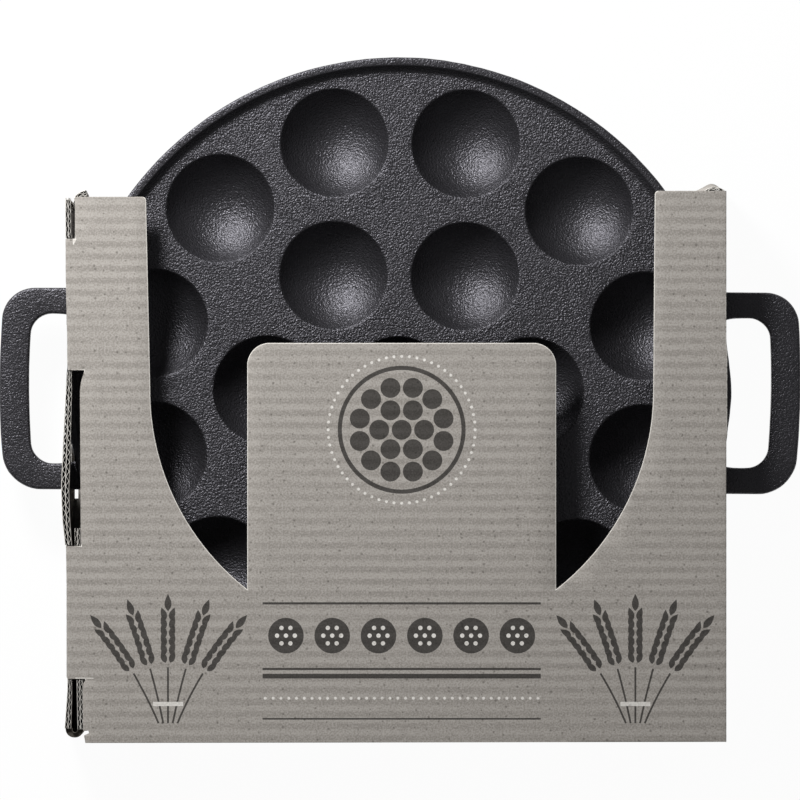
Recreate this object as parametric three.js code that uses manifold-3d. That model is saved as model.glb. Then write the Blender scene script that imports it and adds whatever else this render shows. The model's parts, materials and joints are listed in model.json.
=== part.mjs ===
// Cast-iron poffertjes pan in its folded cardboard display sleeve.
// Millimetres, +Z up. The sleeve lies on its back panel. The origin is on that panel's outer face,
// under the pan's axis; +X runs through the handles and +Y to the open end of the sleeve's window.
import * as THREE from 'three';
import { mergeVertices } from 'three/addons/utils/BufferGeometryUtils.js';
import Module from 'manifold-3d';

const wasm = await Module();
wasm.setup();

// Cups of the casting
const CUP_MOUTH = 39.2; // diameter at the cooking surface
const CUP_DEPTH = 15.5;
const CUP_BRIDGE = 8.65; // plate left between two neighbouring mouths
const CUP_EDGE = 0.6; // broken edge round a mouth
const INNER_CUPS = 6;
const OUTER_CUPS = 12;

// Plate, rim and skirt of the casting
const WALL = 4.2; // iron thickness of plate, cups and skirt
const BASE_PAD = 5.5; // iron under the lowest point of a cup
const PAD_DIAMETER = 20; // flat foot under each cup
const RIM_RISE = 4; // lip above the cooking surface
const RIM_LAND = 2.6; // plate between the outer cups and the rim
const RIM_SLOPE = 3; // run of the rim's inner slope
const LIP_WIDTH = 2.36;
const LIP_ROUND = 0.9;
const SKIRT_DRAFT = 6; // radius that the skirt loses from lip to base
const SKIRT_RELEASE = 1; // radius that the skirt's inner face gains from plate to base
const SKIRT_FILLET = 3;

// Loop handles, cast in one with the pan
const HANDLE_REACH = 23.7; // beyond the rim
const HANDLE_WIDTH = 73.4;
const HANDLE_BAR = 10.6;
const HANDLE_ARM = 9.4;
const HANDLE_THICKNESS = 8;
const HANDLE_DROP = 8; // from the lip to the top of the handle
const HANDLE_CORNER = 12.5;
const OPENING_CORNER = 6;
const ROOT_FILLET = 5;
const HANDLE_EDGE = 1.6; // rounding of the handle's edges
const ROOT_DEPTH = 1.4; // how deep the arms are rooted in the skirt

// Board of the sleeve
const BOARD = 2.5; // double-wall micro-flute board
const FIT = 0.3; // gap between pieces that touch
const RIM_POKE = 1; // how far the rim stands out of the sleeve on each side
const SLEEVE_SHIFT = -0.75; // the sleeve sits a little to the left of the pan
const HEADROOM = 6.7; // front panel above the lip

// Slots in the walls that the handles and the rim pass through
const SLOT_SIDE = 2.6; // beside the handle
const SLOT_UNDER = 4.2; // below the handle
const SLOT_OVER = 0.8; // above the handle and above the lip

// Standing edges of the left wall and the lock tabs between them
const TOP_MERLON = 14.4;
const MID_MERLON_TOP = 7.1; // height of the middle edge's upper end above the pan's axis
const LOWER_TAB_OFFSET = 16.2; // from the slot's end to the lower tab
const LOWER_TAB = 48.3;
const BOTTOM_MERLON = 17.6;
const UPPER_TAB_GRIP = 15.7; // part of the upper tab that stands clear of the slot
const TAB_DEPTH = 16.3;
const TAB_CORNER = 3;

// Front panel with its U-shaped window and centre tongue
const WING = 28.6; // board left and right of the window
const WINDOW_SHIFT = 1.85; // the window's axis from the sleeve's own
const WINDOW_GAP = 34.9; // between a wing and the tongue
const TONGUE_TOP = 17.2; // above the pan's axis
const TONGUE_CORNER = 8;
const TOP_OVERHANG = 1.6; // panels above the walls
const BOTTOM_OVERHANG = 1.5; // panels below the folded flaps
const TOP_NOTCH = 0.9; // gap beside the wall's top edge
const MID_NOTCH = 2.7; // gap beside the wall's middle edge
const BACK_CORNER = 1.5;

// Flaps at the ends of the walls
const TOP_FLAP = 11;
const FLAP_SET = 1.5; // top flap's seat below the end of the standing edge
const FLAP_GAP = 1; // between a wall and the bottom flap folded behind it
const FLAP_RIM_GAP = 4; // from the end of a bottom flap to the rim

// Facets
const RIM_STEPS = 72;
const CUP_STEPS = 20;
const CUP_RINGS = 5;
const BUMP_STEPS = 16;
const BUMP_RINGS = 3;
const ARC_STEPS = 10;
const CORNER_STEPS = 6;
const EDGE_STEPS = 2;
const WELD = 1e-4;

// Layout of the casting, heights counted from its base
const cupPitch = CUP_MOUTH + CUP_BRIDGE;
const ringRadius = (count) => cupPitch / (2 * Math.sin(Math.PI / count));
const plateRadius = ringRadius(OUTER_CUPS) + CUP_MOUTH / 2 + RIM_LAND;
const rimRadius = plateRadius + RIM_SLOPE + LIP_WIDTH;
const plateTop = BASE_PAD + CUP_DEPTH;
const plateUnder = plateTop - WALL;
const panHeight = plateTop + RIM_RISE;
const skirtRadius = (height) => rimRadius - SKIRT_DRAFT * (1 - height / panHeight);
const skirtHeight = (radius) => panHeight * (1 - (rimRadius - radius) / SKIRT_DRAFT);
const cupSphere = (CUP_MOUTH ** 2 / 4 + CUP_DEPTH ** 2) / (2 * CUP_DEPTH);
const cupCentreHeight = BASE_PAD + cupSphere;

// Levels of the assembly
const panBase = BOARD + FIT;
const rimTop = panBase + panHeight;
const handleTop = rimTop - HANDLE_DROP;
const handleBottom = handleTop - HANDLE_THICKNESS;
const slotOverHandle = handleTop + SLOT_OVER;
const slotOverRim = rimTop + SLOT_OVER;
const panelUnder = rimTop + HEADROOM;
const frontFace = panelUnder + BOARD;
const wallTopLevel = panelUnder - FIT;
const tabTip = wallTopLevel - TAB_DEPTH;

// Faces of the sleeve across X
const leftFace = SLEEVE_SHIFT - (rimRadius - RIM_POKE);
const rightFace = SLEEVE_SHIFT + (rimRadius - RIM_POKE);
const leftInner = leftFace + BOARD;
const rightInner = rightFace - BOARD;

// Stations of the sleeve along Y
const slotEnd = HANDLE_WIDTH / 2 + SLOT_SIDE;
const upperTabTop = slotEnd + UPPER_TAB_GRIP;
const wallTop = upperTabTop + TOP_MERLON;
const panelTop = wallTop + TOP_OVERHANG;
const flapSeat = wallTop - FLAP_SET;
const midMerlonBottom = -slotEnd - LOWER_TAB_OFFSET;
const lowerTabBottom = midMerlonBottom - LOWER_TAB;
const wallBottom = lowerTabBottom - BOTTOM_MERLON;
const foldCentre = wallBottom - FIT;
const foldRadius = BOARD + FLAP_GAP / 2;
const panelBottom = foldCentre - foldRadius - BOTTOM_OVERHANG;

const IRON = new THREE.MeshStandardMaterial({ color: 0x39383a, roughness: 0.55, metalness: 0.7 });
const KRAFT = new THREE.MeshStandardMaterial({ color: 0xa39e98, roughness: 0.9, metalness: 0 });
const INNER_KRAFT = new THREE.MeshStandardMaterial({ color: 0x8f8a84, roughness: 0.92, metalness: 0 });

// A closed geometry as a solid that can be joined and cut
function solid(geometry) {
  const bare = new THREE.BufferGeometry();
  bare.setAttribute('position', geometry.getAttribute('position'));
  bare.setIndex(geometry.index);
  const welded = mergeVertices(bare, WELD);
  const corners = welded.index.array;
  const triangles = [];
  for (let i = 0; i < corners.length; i += 3) {
    const [a, b, c] = corners.slice(i, i + 3);
    const flat = a === b || b === c || c === a;
    if (!flat) triangles.push(a, b, c);
  }
  return new wasm.Manifold(new wasm.Mesh({
    numProp: 3,
    vertProperties: new Float32Array(welded.getAttribute('position').array),
    triVerts: new Uint32Array(triangles),
  }));
}

// A solid back as a geometry
function geometryOf(body) {
  const mesh = body.getMesh();
  const geometry = new THREE.BufferGeometry();
  geometry.setAttribute('position', new THREE.BufferAttribute(mesh.vertProperties, 3));
  geometry.setIndex(new THREE.BufferAttribute(mesh.triVerts, 1));
  geometry.computeVertexNormals();
  return geometry;
}

// A profile of radius and height, turned round +Z
function turned(profile, steps) {
  return new THREE.LatheGeometry(profile, steps).rotateX(Math.PI / 2);
}

// Points of an arc in a profile, from one angle to another
function arcPoints(x, y, radius, from, to, steps) {
  const curve = new THREE.ArcCurve(x, y, radius, from, to, to < from);
  return curve.getPoints(steps);
}

// A flat sheet of board with the given outline
function sheet(outline, thickness) {
  const settings = { depth: thickness, bevelEnabled: false, curveSegments: ARC_STEPS };
  return new THREE.ExtrudeGeometry(outline, settings);
}

// An outline through corner points
function polygon(corners) {
  return new THREE.Shape(corners.map(([x, y]) => new THREE.Vector2(x, y)));
}

// Cup centres: one in the middle and two rings, each cup one pitch from its neighbours
function cupCentres() {
  const centres = [new THREE.Vector2(0, 0)];
  for (const count of [INNER_CUPS, OUTER_CUPS]) {
    const turn = count === OUTER_CUPS ? Math.PI / count : 0;
    for (let i = 0; i < count; i += 1) {
      const angle = turn + (2 * Math.PI * i) / count;
      const radius = ringRadius(count);
      centres.push(new THREE.Vector2(radius * Math.cos(angle), radius * Math.sin(angle)));
    }
  }
  return centres;
}

// Plate with its raised rim above and its drafted skirt below
function plateAndRim() {
  const innerBase = skirtRadius(0) - WALL;
  const filletX = innerBase - SKIRT_RELEASE - SKIRT_FILLET;
  const filletY = plateUnder - SKIRT_FILLET;
  const lipOuterX = skirtRadius(panHeight - LIP_ROUND) - LIP_ROUND;
  const lipY = panHeight - LIP_ROUND;
  const lipInnerX = rimRadius - LIP_WIDTH;
  const profile = [
    new THREE.Vector2(0, plateUnder),
    ...arcPoints(filletX, filletY, SKIRT_FILLET, Math.PI / 2, 0, EDGE_STEPS),
    new THREE.Vector2(innerBase, 0),
    new THREE.Vector2(skirtRadius(0), 0),
    ...arcPoints(lipOuterX, lipY, LIP_ROUND, 0, Math.PI / 2, EDGE_STEPS),
    new THREE.Vector2(lipInnerX + LIP_ROUND / 2, panHeight),
    new THREE.Vector2(lipInnerX, panHeight - LIP_ROUND / 2),
    new THREE.Vector2(plateRadius, plateTop),
    new THREE.Vector2(0, plateTop),
  ];
  return turned(profile, RIM_STEPS);
}

// Underside of one cup: a domed shell that stands on a flat foot
function cupShell() {
  const radius = cupSphere + WALL;
  const cutAtBase = Math.sqrt(Math.max(0, radius ** 2 - cupCentreHeight ** 2));
  const foot = Math.max(PAD_DIAMETER / 2, cutAtBase);
  const from = -Math.acos(foot / radius);
  const to = -Math.asin((cupCentreHeight - plateUnder - WALL / 2) / radius);
  const dome = arcPoints(0, cupCentreHeight, radius, from, to, BUMP_RINGS);
  const top = dome[dome.length - 1].y;
  const profile = [new THREE.Vector2(0, 0), new THREE.Vector2(foot, 0), ...dome, new THREE.Vector2(0, top)];
  return turned(profile, BUMP_STEPS);
}

// Hollow of one cup, with its broken edge at the cooking surface
function cupHollow() {
  const edgeHeight = plateTop - CUP_EDGE;
  const to = -Math.asin((cupCentreHeight - edgeHeight) / cupSphere);
  const bowl = arcPoints(0, cupCentreHeight, cupSphere, -Math.PI / 2, to, CUP_RINGS);
  bowl[0].x = 0;
  const mouth = CUP_MOUTH / 2 + CUP_EDGE;
  const profile = [
    ...bowl,
    new THREE.Vector2(mouth, plateTop),
    new THREE.Vector2(mouth, plateTop + RIM_RISE),
    new THREE.Vector2(0, plateTop + RIM_RISE),
  ];
  return turned(profile, CUP_STEPS);
}

// Loop handle on the +X side, with rounded edges, its arms rooted in the skirt
function handleLoop() {
  const level = panHeight - HANDLE_DROP - HANDLE_THICKNESS;
  const middle = level + HANDLE_THICKNESS / 2;
  const reach = rimRadius + HANDLE_REACH;
  const half = HANDLE_WIDTH / 2;
  const inside = half - HANDLE_ARM;
  const flare = inside - ROOT_FILLET;
  const end = reach - HANDLE_BAR - OPENING_CORNER;
  const rootX = Math.sqrt((skirtRadius(middle) - ROOT_DEPTH) ** 2 - half ** 2);
  const flareX = Math.sqrt((skirtRadius(middle) - ROOT_DEPTH / 2) ** 2 - flare ** 2);

  const loop = new THREE.Shape();
  loop.absarc(reach - HANDLE_CORNER, -half + HANDLE_CORNER, HANDLE_CORNER, -Math.PI / 2, 0);
  loop.absarc(reach - HANDLE_CORNER, half - HANDLE_CORNER, HANDLE_CORNER, 0, Math.PI / 2);
  loop.lineTo(rootX, half);
  loop.lineTo(rootX, flare);
  loop.lineTo(flareX, flare);
  loop.quadraticCurveTo(flareX, inside, flareX + 2 * ROOT_FILLET, inside);
  loop.absarc(end, inside - OPENING_CORNER, OPENING_CORNER, Math.PI / 2, 0, true);
  loop.absarc(end, -inside + OPENING_CORNER, OPENING_CORNER, 0, -Math.PI / 2, true);
  loop.lineTo(flareX + 2 * ROOT_FILLET, -inside);
  loop.quadraticCurveTo(flareX, -inside, flareX, -flare);
  loop.lineTo(rootX, -flare);
  loop.lineTo(rootX, -half);

  const bar = new THREE.ExtrudeGeometry(loop, {
    depth: HANDLE_THICKNESS - 2 * HANDLE_EDGE,
    bevelThickness: HANDLE_EDGE,
    bevelSize: HANDLE_EDGE,
    bevelOffset: -HANDLE_EDGE,
    bevelSegments: EDGE_STEPS,
    curveSegments: CORNER_STEPS,
  });
  return bar.translate(0, 0, level + HANDLE_EDGE);
}

// The whole casting: plate, rim, skirt, cups and handles in one piece of iron
function panCasting() {
  let casting = solid(plateAndRim());
  for (const side of [0, Math.PI]) {
    casting = casting.add(solid(handleLoop().rotateZ(side)));
  }
  for (const { x, y } of cupCentres()) {
    casting = casting.add(solid(cupShell().translate(x, y, 0)));
  }
  for (const { x, y } of cupCentres()) {
    casting = casting.subtract(solid(cupHollow().translate(x, y, 0)));
  }
  return geometryOf(casting);
}

// Half length of a wall's slot at the height of the rim
function rimSlotHalf(innerFace) {
  const half = Math.sqrt(Math.max(0, (rimRadius + SLOT_OVER) ** 2 - innerFace ** 2));
  return Math.min(half, slotEnd);
}

// Floor of a wall's slot, below the handle and below where the skirt reaches the wall
function slotFloor(innerFace) {
  const skirtMeetsWall = panBase + skirtHeight(Math.abs(innerFace) - FIT);
  return Math.min(handleBottom - SLOT_UNDER, skirtMeetsWall);
}

// Outline of the left wall: standing edges, notches for the lock tabs, and the slot under its bridge
function leftWallOutline() {
  const floor = slotFloor(leftInner);
  const rimHalf = rimSlotHalf(leftInner);
  const notch = tabTip - FIT;
  return polygon([
    [wallBottom, panBase],
    [flapSeat, panBase],
    [flapSeat, panelUnder],
    [wallTop, panelUnder],
    [wallTop, frontFace],
    [upperTabTop, frontFace],
    [upperTabTop, notch],
    [slotEnd, notch],
    [slotEnd, floor],
    [-slotEnd, floor],
    [-slotEnd, slotOverHandle],
    [-rimHalf, slotOverHandle],
    [-rimHalf, slotOverRim],
    [MID_MERLON_TOP, slotOverRim],
    [MID_MERLON_TOP, frontFace],
    [midMerlonBottom, frontFace],
    [midMerlonBottom, notch],
    [lowerTabBottom, notch],
    [lowerTabBottom, frontFace],
    [wallBottom, frontFace],
  ]);
}

// Outline of the right wall, with a closed slot, under the crease of the front panel
function rightWallOutline() {
  const floor = slotFloor(rightInner);
  const rimHalf = rimSlotHalf(rightInner);
  const wall = polygon([
    [wallBottom, panBase],
    [flapSeat, panBase],
    [flapSeat, wallTopLevel],
    [wallBottom, wallTopLevel],
  ]);
  wall.holes.push(polygon([
    [-slotEnd, floor],
    [slotEnd, floor],
    [slotEnd, slotOverHandle],
    [rimHalf, slotOverHandle],
    [rimHalf, slotOverRim],
    [-rimHalf, slotOverRim],
    [-rimHalf, slotOverHandle],
    [-slotEnd, slotOverHandle],
  ]));
  return wall;
}

// Outline of the upper lock tab: shallow over the rim, deeper past the handle
function upperTabOutline() {
  const rimHalf = rimSlotHalf(leftInner);
  return polygon([
    [MID_MERLON_TOP + FIT, wallTopLevel],
    [MID_MERLON_TOP + FIT, slotOverRim],
    [rimHalf, slotOverRim],
    [rimHalf, slotOverHandle],
    [slotEnd + FIT, slotOverHandle],
    [slotEnd + FIT, tabTip],
    [upperTabTop - FIT - TAB_CORNER, tabTip],
    [upperTabTop - FIT, tabTip + TAB_CORNER],
    [upperTabTop - FIT, wallTopLevel],
  ]);
}

// Outline of the lower lock tab, with clipped corners at its tip
function lowerTabOutline() {
  return polygon([
    [midMerlonBottom - FIT, wallTopLevel],
    [lowerTabBottom + FIT, wallTopLevel],
    [lowerTabBottom + FIT, tabTip + TAB_CORNER],
    [lowerTabBottom + FIT + TAB_CORNER, tabTip],
    [midMerlonBottom - FIT - TAB_CORNER, tabTip],
    [midMerlonBottom - FIT, tabTip + TAB_CORNER],
  ]);
}

// Front panel: cut back beside the wall's standing edges, with a window round a centre tongue
function frontPanelOutline() {
  const axis = SLEEVE_SHIFT + WINDOW_SHIFT;
  const windowRadius = rimRadius - RIM_POKE - WING;
  const tongueHalf = windowRadius - WINDOW_GAP;
  const rootAngle = Math.acos(tongueHalf / windowRadius);
  const shoulder = TONGUE_TOP - TONGUE_CORNER;
  const cornerX = tongueHalf - TONGUE_CORNER;
  const topCut = leftInner + TOP_NOTCH;
  const midCut = leftInner + MID_NOTCH;
  const bottomCut = leftInner + FLAP_GAP + BOARD + FIT;

  const panel = new THREE.Shape();
  panel.moveTo(topCut, panelTop);
  panel.lineTo(topCut, upperTabTop);
  panel.lineTo(leftFace, upperTabTop);
  panel.lineTo(leftFace, MID_MERLON_TOP + FIT);
  panel.lineTo(midCut, MID_MERLON_TOP + FIT);
  panel.lineTo(midCut, midMerlonBottom - FIT);
  panel.lineTo(leftFace, midMerlonBottom - FIT);
  panel.lineTo(leftFace, lowerTabBottom + FIT);
  panel.lineTo(bottomCut, lowerTabBottom + FIT);
  panel.lineTo(bottomCut, panelBottom);
  panel.lineTo(rightFace, panelBottom);
  panel.lineTo(rightFace, panelTop);
  panel.lineTo(axis + windowRadius, panelTop);
  panel.absarc(axis, 0, windowRadius, 0, -rootAngle, true);
  panel.absarc(axis + cornerX, shoulder, TONGUE_CORNER, 0, Math.PI / 2);
  panel.absarc(axis - cornerX, shoulder, TONGUE_CORNER, Math.PI / 2, Math.PI);
  panel.absarc(axis, 0, windowRadius, Math.PI + rootAngle, Math.PI, true);
  panel.lineTo(axis - windowRadius, panelTop);
  return panel;
}

// Back panel: a plain rectangle with eased corners
function backPanelOutline() {
  const panel = new THREE.Shape();
  panel.absarc(rightFace - BACK_CORNER, panelTop - BACK_CORNER, BACK_CORNER, 0, Math.PI / 2);
  panel.absarc(leftFace + BACK_CORNER, panelTop - BACK_CORNER, BACK_CORNER, Math.PI / 2, Math.PI);
  panel.absarc(leftFace + BACK_CORNER, panelBottom + BACK_CORNER, BACK_CORNER, Math.PI, Math.PI * 1.5);
  panel.absarc(rightFace - BACK_CORNER, panelBottom + BACK_CORNER, BACK_CORNER, Math.PI * 1.5, Math.PI * 2);
  return panel;
}

// Band of a bottom flap: turned round the wall's lower end and run up behind the wall as far as given
function bottomFlapBand(face, inward, end) {
  const near = face + inward * BOARD;
  const far = near + inward * (FLAP_GAP + BOARD);
  const centre = (face + far) / 2;
  const start = inward > 0 ? Math.PI : 0;
  const turn = inward > 0 ? 2 * Math.PI : -Math.PI;
  const band = new THREE.Shape();
  band.absarc(centre, foldCentre, foldRadius, start, turn, inward < 0);
  band.lineTo(far, end);
  band.lineTo(far - inward * BOARD, end);
  band.absarc(centre, foldCentre, FLAP_GAP / 2, turn, start, inward > 0);
  return band;
}

// Bottom flap folded up behind its wall; on the left its end shows in the cut-out of the front panel
function bottomFlap(face, inward, showsInFront) {
  const legFace = face + inward * (2 * BOARD + FLAP_GAP);
  const legEnd = -Math.sqrt((rimRadius + FLAP_RIM_GAP) ** 2 - legFace ** 2);
  const low = sheet(bottomFlapBand(face, inward, legEnd), wallTopLevel - panBase);
  if (!showsInFront) return low.translate(0, 0, panBase);
  const full = sheet(bottomFlapBand(face, inward, lowerTabBottom), frontFace - panBase);
  return geometryOf(solid(low).add(solid(full))).translate(0, 0, panBase);
}

// Top flap, folded inwards over the end of its wall
function topFlap(face, inward) {
  const crease = face + inward * FIT;
  const tip = face + inward * TOP_FLAP;
  const left = Math.min(crease, tip);
  const right = Math.max(crease, tip);
  const low = flapSeat + FIT;
  const high = low + BOARD;
  const band = polygon([[left, low], [right, low], [right, high], [left, high]]);
  return sheet(band, wallTopLevel - panBase).translate(0, 0, panBase);
}

// Turns a sheet drawn in Y and Z so that its thickness runs along +X
const UPRIGHT = new THREE.Quaternion().setFromRotationMatrix(new THREE.Matrix4().makeBasis(
  new THREE.Vector3(0, 1, 0),
  new THREE.Vector3(0, 0, 1),
  new THREE.Vector3(1, 0, 0),
));

const sleevedPan = new THREE.Group();

function place(name, geometry, material, position = new THREE.Vector3()) {
  const mesh = new THREE.Mesh(geometry, material);
  mesh.name = name;
  mesh.position.copy(position);
  sleevedPan.add(mesh);
  return mesh;
}

function placeUpright(name, outline, x) {
  const mesh = place(name, sheet(outline, BOARD), KRAFT, new THREE.Vector3(x, 0, 0));
  mesh.quaternion.copy(UPRIGHT);
}

place('pan_casting', panCasting(), IRON, new THREE.Vector3(0, 0, panBase));
place('back_panel', sheet(backPanelOutline(), BOARD), KRAFT);
placeUpright('left_wall', leftWallOutline(), leftFace);
placeUpright('right_wall', rightWallOutline(), rightInner);
place('front_panel', sheet(frontPanelOutline(), BOARD), KRAFT, new THREE.Vector3(0, 0, panelUnder));
placeUpright('upper_lock_tab', upperTabOutline(), leftFace);
placeUpright('lower_lock_tab', lowerTabOutline(), leftFace);
place('left_bottom_flap', bottomFlap(leftFace, 1, true), INNER_KRAFT);
place('right_bottom_flap', bottomFlap(rightFace, -1, false), INNER_KRAFT);
place('left_top_flap', topFlap(leftFace, 1), INNER_KRAFT);
place('right_top_flap', topFlap(rightFace, -1), INNER_KRAFT);

export default sleevedPan;
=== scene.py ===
"""Dresses a cast-iron poffertjes pan and its folded cardboard sleeve for a product picture."""

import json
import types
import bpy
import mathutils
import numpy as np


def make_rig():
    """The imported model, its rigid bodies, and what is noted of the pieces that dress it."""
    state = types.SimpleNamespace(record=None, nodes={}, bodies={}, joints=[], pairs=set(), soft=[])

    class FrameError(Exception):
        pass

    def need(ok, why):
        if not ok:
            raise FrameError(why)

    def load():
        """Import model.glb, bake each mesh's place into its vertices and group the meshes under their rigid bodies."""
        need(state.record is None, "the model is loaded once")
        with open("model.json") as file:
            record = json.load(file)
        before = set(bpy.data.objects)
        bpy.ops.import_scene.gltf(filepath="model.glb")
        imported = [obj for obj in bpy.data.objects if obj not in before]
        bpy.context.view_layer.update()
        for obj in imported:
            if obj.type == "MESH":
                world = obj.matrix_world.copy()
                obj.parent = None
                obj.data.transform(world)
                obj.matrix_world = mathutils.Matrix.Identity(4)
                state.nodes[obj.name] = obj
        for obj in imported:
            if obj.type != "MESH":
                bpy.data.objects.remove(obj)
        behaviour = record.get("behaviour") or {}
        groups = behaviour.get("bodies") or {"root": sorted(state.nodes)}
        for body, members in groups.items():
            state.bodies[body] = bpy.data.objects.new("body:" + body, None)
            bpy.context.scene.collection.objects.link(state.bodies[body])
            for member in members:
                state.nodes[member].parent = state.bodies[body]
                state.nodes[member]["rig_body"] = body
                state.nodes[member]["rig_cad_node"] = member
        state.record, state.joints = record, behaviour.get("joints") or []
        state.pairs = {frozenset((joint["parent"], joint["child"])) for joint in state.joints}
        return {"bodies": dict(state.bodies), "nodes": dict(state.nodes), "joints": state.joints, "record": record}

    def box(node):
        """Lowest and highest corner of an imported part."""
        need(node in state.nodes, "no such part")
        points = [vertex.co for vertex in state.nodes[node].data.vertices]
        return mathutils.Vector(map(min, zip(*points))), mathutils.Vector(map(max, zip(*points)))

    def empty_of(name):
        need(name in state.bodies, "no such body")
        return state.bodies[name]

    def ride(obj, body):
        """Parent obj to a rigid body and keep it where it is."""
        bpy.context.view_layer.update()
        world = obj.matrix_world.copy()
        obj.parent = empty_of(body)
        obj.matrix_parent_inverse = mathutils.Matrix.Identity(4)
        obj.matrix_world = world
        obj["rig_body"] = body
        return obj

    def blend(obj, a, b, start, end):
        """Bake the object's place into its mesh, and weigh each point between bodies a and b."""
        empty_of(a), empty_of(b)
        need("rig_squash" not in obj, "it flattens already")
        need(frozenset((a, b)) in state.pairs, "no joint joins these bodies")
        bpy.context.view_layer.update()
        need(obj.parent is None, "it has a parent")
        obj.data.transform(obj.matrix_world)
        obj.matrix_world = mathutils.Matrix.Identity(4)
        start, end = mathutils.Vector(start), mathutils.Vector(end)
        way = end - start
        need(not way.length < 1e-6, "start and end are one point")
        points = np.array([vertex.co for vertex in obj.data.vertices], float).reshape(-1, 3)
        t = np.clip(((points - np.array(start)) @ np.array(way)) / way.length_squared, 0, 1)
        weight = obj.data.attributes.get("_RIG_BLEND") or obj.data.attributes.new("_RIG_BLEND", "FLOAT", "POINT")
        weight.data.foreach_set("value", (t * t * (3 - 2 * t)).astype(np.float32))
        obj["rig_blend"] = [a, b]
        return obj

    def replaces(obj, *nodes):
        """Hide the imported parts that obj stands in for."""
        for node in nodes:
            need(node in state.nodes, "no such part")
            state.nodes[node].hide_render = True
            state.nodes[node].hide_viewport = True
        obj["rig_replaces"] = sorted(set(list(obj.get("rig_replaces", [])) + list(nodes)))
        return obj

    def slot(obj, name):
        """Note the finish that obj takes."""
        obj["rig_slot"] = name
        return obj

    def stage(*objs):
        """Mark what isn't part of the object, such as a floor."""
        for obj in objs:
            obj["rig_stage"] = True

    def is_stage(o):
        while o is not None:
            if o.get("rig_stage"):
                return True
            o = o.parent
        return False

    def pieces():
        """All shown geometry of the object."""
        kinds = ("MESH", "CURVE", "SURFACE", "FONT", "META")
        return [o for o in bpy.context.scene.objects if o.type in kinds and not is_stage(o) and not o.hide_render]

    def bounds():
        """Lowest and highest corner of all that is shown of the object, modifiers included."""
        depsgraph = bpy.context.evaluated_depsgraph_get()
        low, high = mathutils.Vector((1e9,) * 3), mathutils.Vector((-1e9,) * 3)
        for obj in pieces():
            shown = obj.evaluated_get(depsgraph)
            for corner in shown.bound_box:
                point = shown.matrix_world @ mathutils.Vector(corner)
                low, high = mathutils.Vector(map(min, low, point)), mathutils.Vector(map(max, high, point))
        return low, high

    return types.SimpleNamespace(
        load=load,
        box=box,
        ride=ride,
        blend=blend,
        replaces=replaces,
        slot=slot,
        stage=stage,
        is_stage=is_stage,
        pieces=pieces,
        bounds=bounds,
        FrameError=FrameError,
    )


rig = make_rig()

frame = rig.load()
CAD_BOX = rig.bounds()

import json
import logging
import math
from collections.abc import Callable, Sequence
from dataclasses import dataclass, field, replace
from enum import Enum, IntEnum

import bmesh
import bpy
import numpy as np
from mathutils import Vector, noise
from mathutils.geometry import delaunay_2d_cdt

LOG = logging.getLogger("sleeved_pan")

MM = 0.001  # metres in a millimetre
TURN = 2 * math.pi
SNAP = 0.05  # how near in millimetres a place counts as on a fold
MIDDLE = {"From Min": 0.3, "From Max": 0.7}  # where most of a noise's values lie

Points = np.ndarray
Mapping = Callable[[Points], Points]
Socket = bpy.types.NodeSocket
Tree = bpy.types.NodeTree


# Colours and nodes

def linear(colour: str) -> tuple[float, float, float, float]:
    """Turns an sRGB hex colour into linear light.

    Args:
        colour: six hex digits after a hash.

    Returns:
        Red, green, blue and an alpha of one.
    """
    parts = [int(colour[i:i + 2], 16) / 255 for i in (1, 3, 5)]
    lit = [p / 12.92 if p <= 0.04045 else ((p + 0.055) / 1.055) ** 2.4 for p in parts]
    return (*lit, 1.0)


def add_node(
    tree: Tree,
    kind: str,
    settings: dict | None = None,
    links: dict | None = None,
) -> bpy.types.Node:
    """Adds a shader node with its settings and links.

    Args:
        tree: the tree that gets the node.
        kind: the node's type, without its ShaderNode prefix.
        settings: values by property name in lower case, or by input name or index.
        links: sockets by the name or index of the input that they feed.

    Returns:
        The new node.
    """
    node = tree.nodes.new("ShaderNode" + kind)
    for key, value in (settings or {}).items():
        if isinstance(key, str) and key.islower():
            setattr(node, key, value)
        else:
            node.inputs[key].default_value = value
    for key, socket in (links or {}).items():
        tree.links.new(socket, node.inputs[key])
    return node


def per_mm(size: float) -> float:
    """A texture scale at which one feature is as wide as the given millimetres."""
    return 1 / (size * MM)


class Finish:
    """A surface finish that makes one Blender material."""

    name = "finish"

    def make(self) -> bpy.types.Material:
        """Makes the material with an empty Principled shader and dresses it.

        Returns:
            The material.
        """
        material = bpy.data.materials.new(self.name)
        material.use_nodes = True
        self.dress(material.node_tree, material.node_tree.nodes["Principled BSDF"])
        return material

    def dress(self, tree: Tree, shader: bpy.types.Node) -> None:
        """Adds the finish's nodes and sets its shader.

        Args:
            tree: the material's node tree.
            shader: its Principled shader.
        """
        raise NotImplementedError


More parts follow.
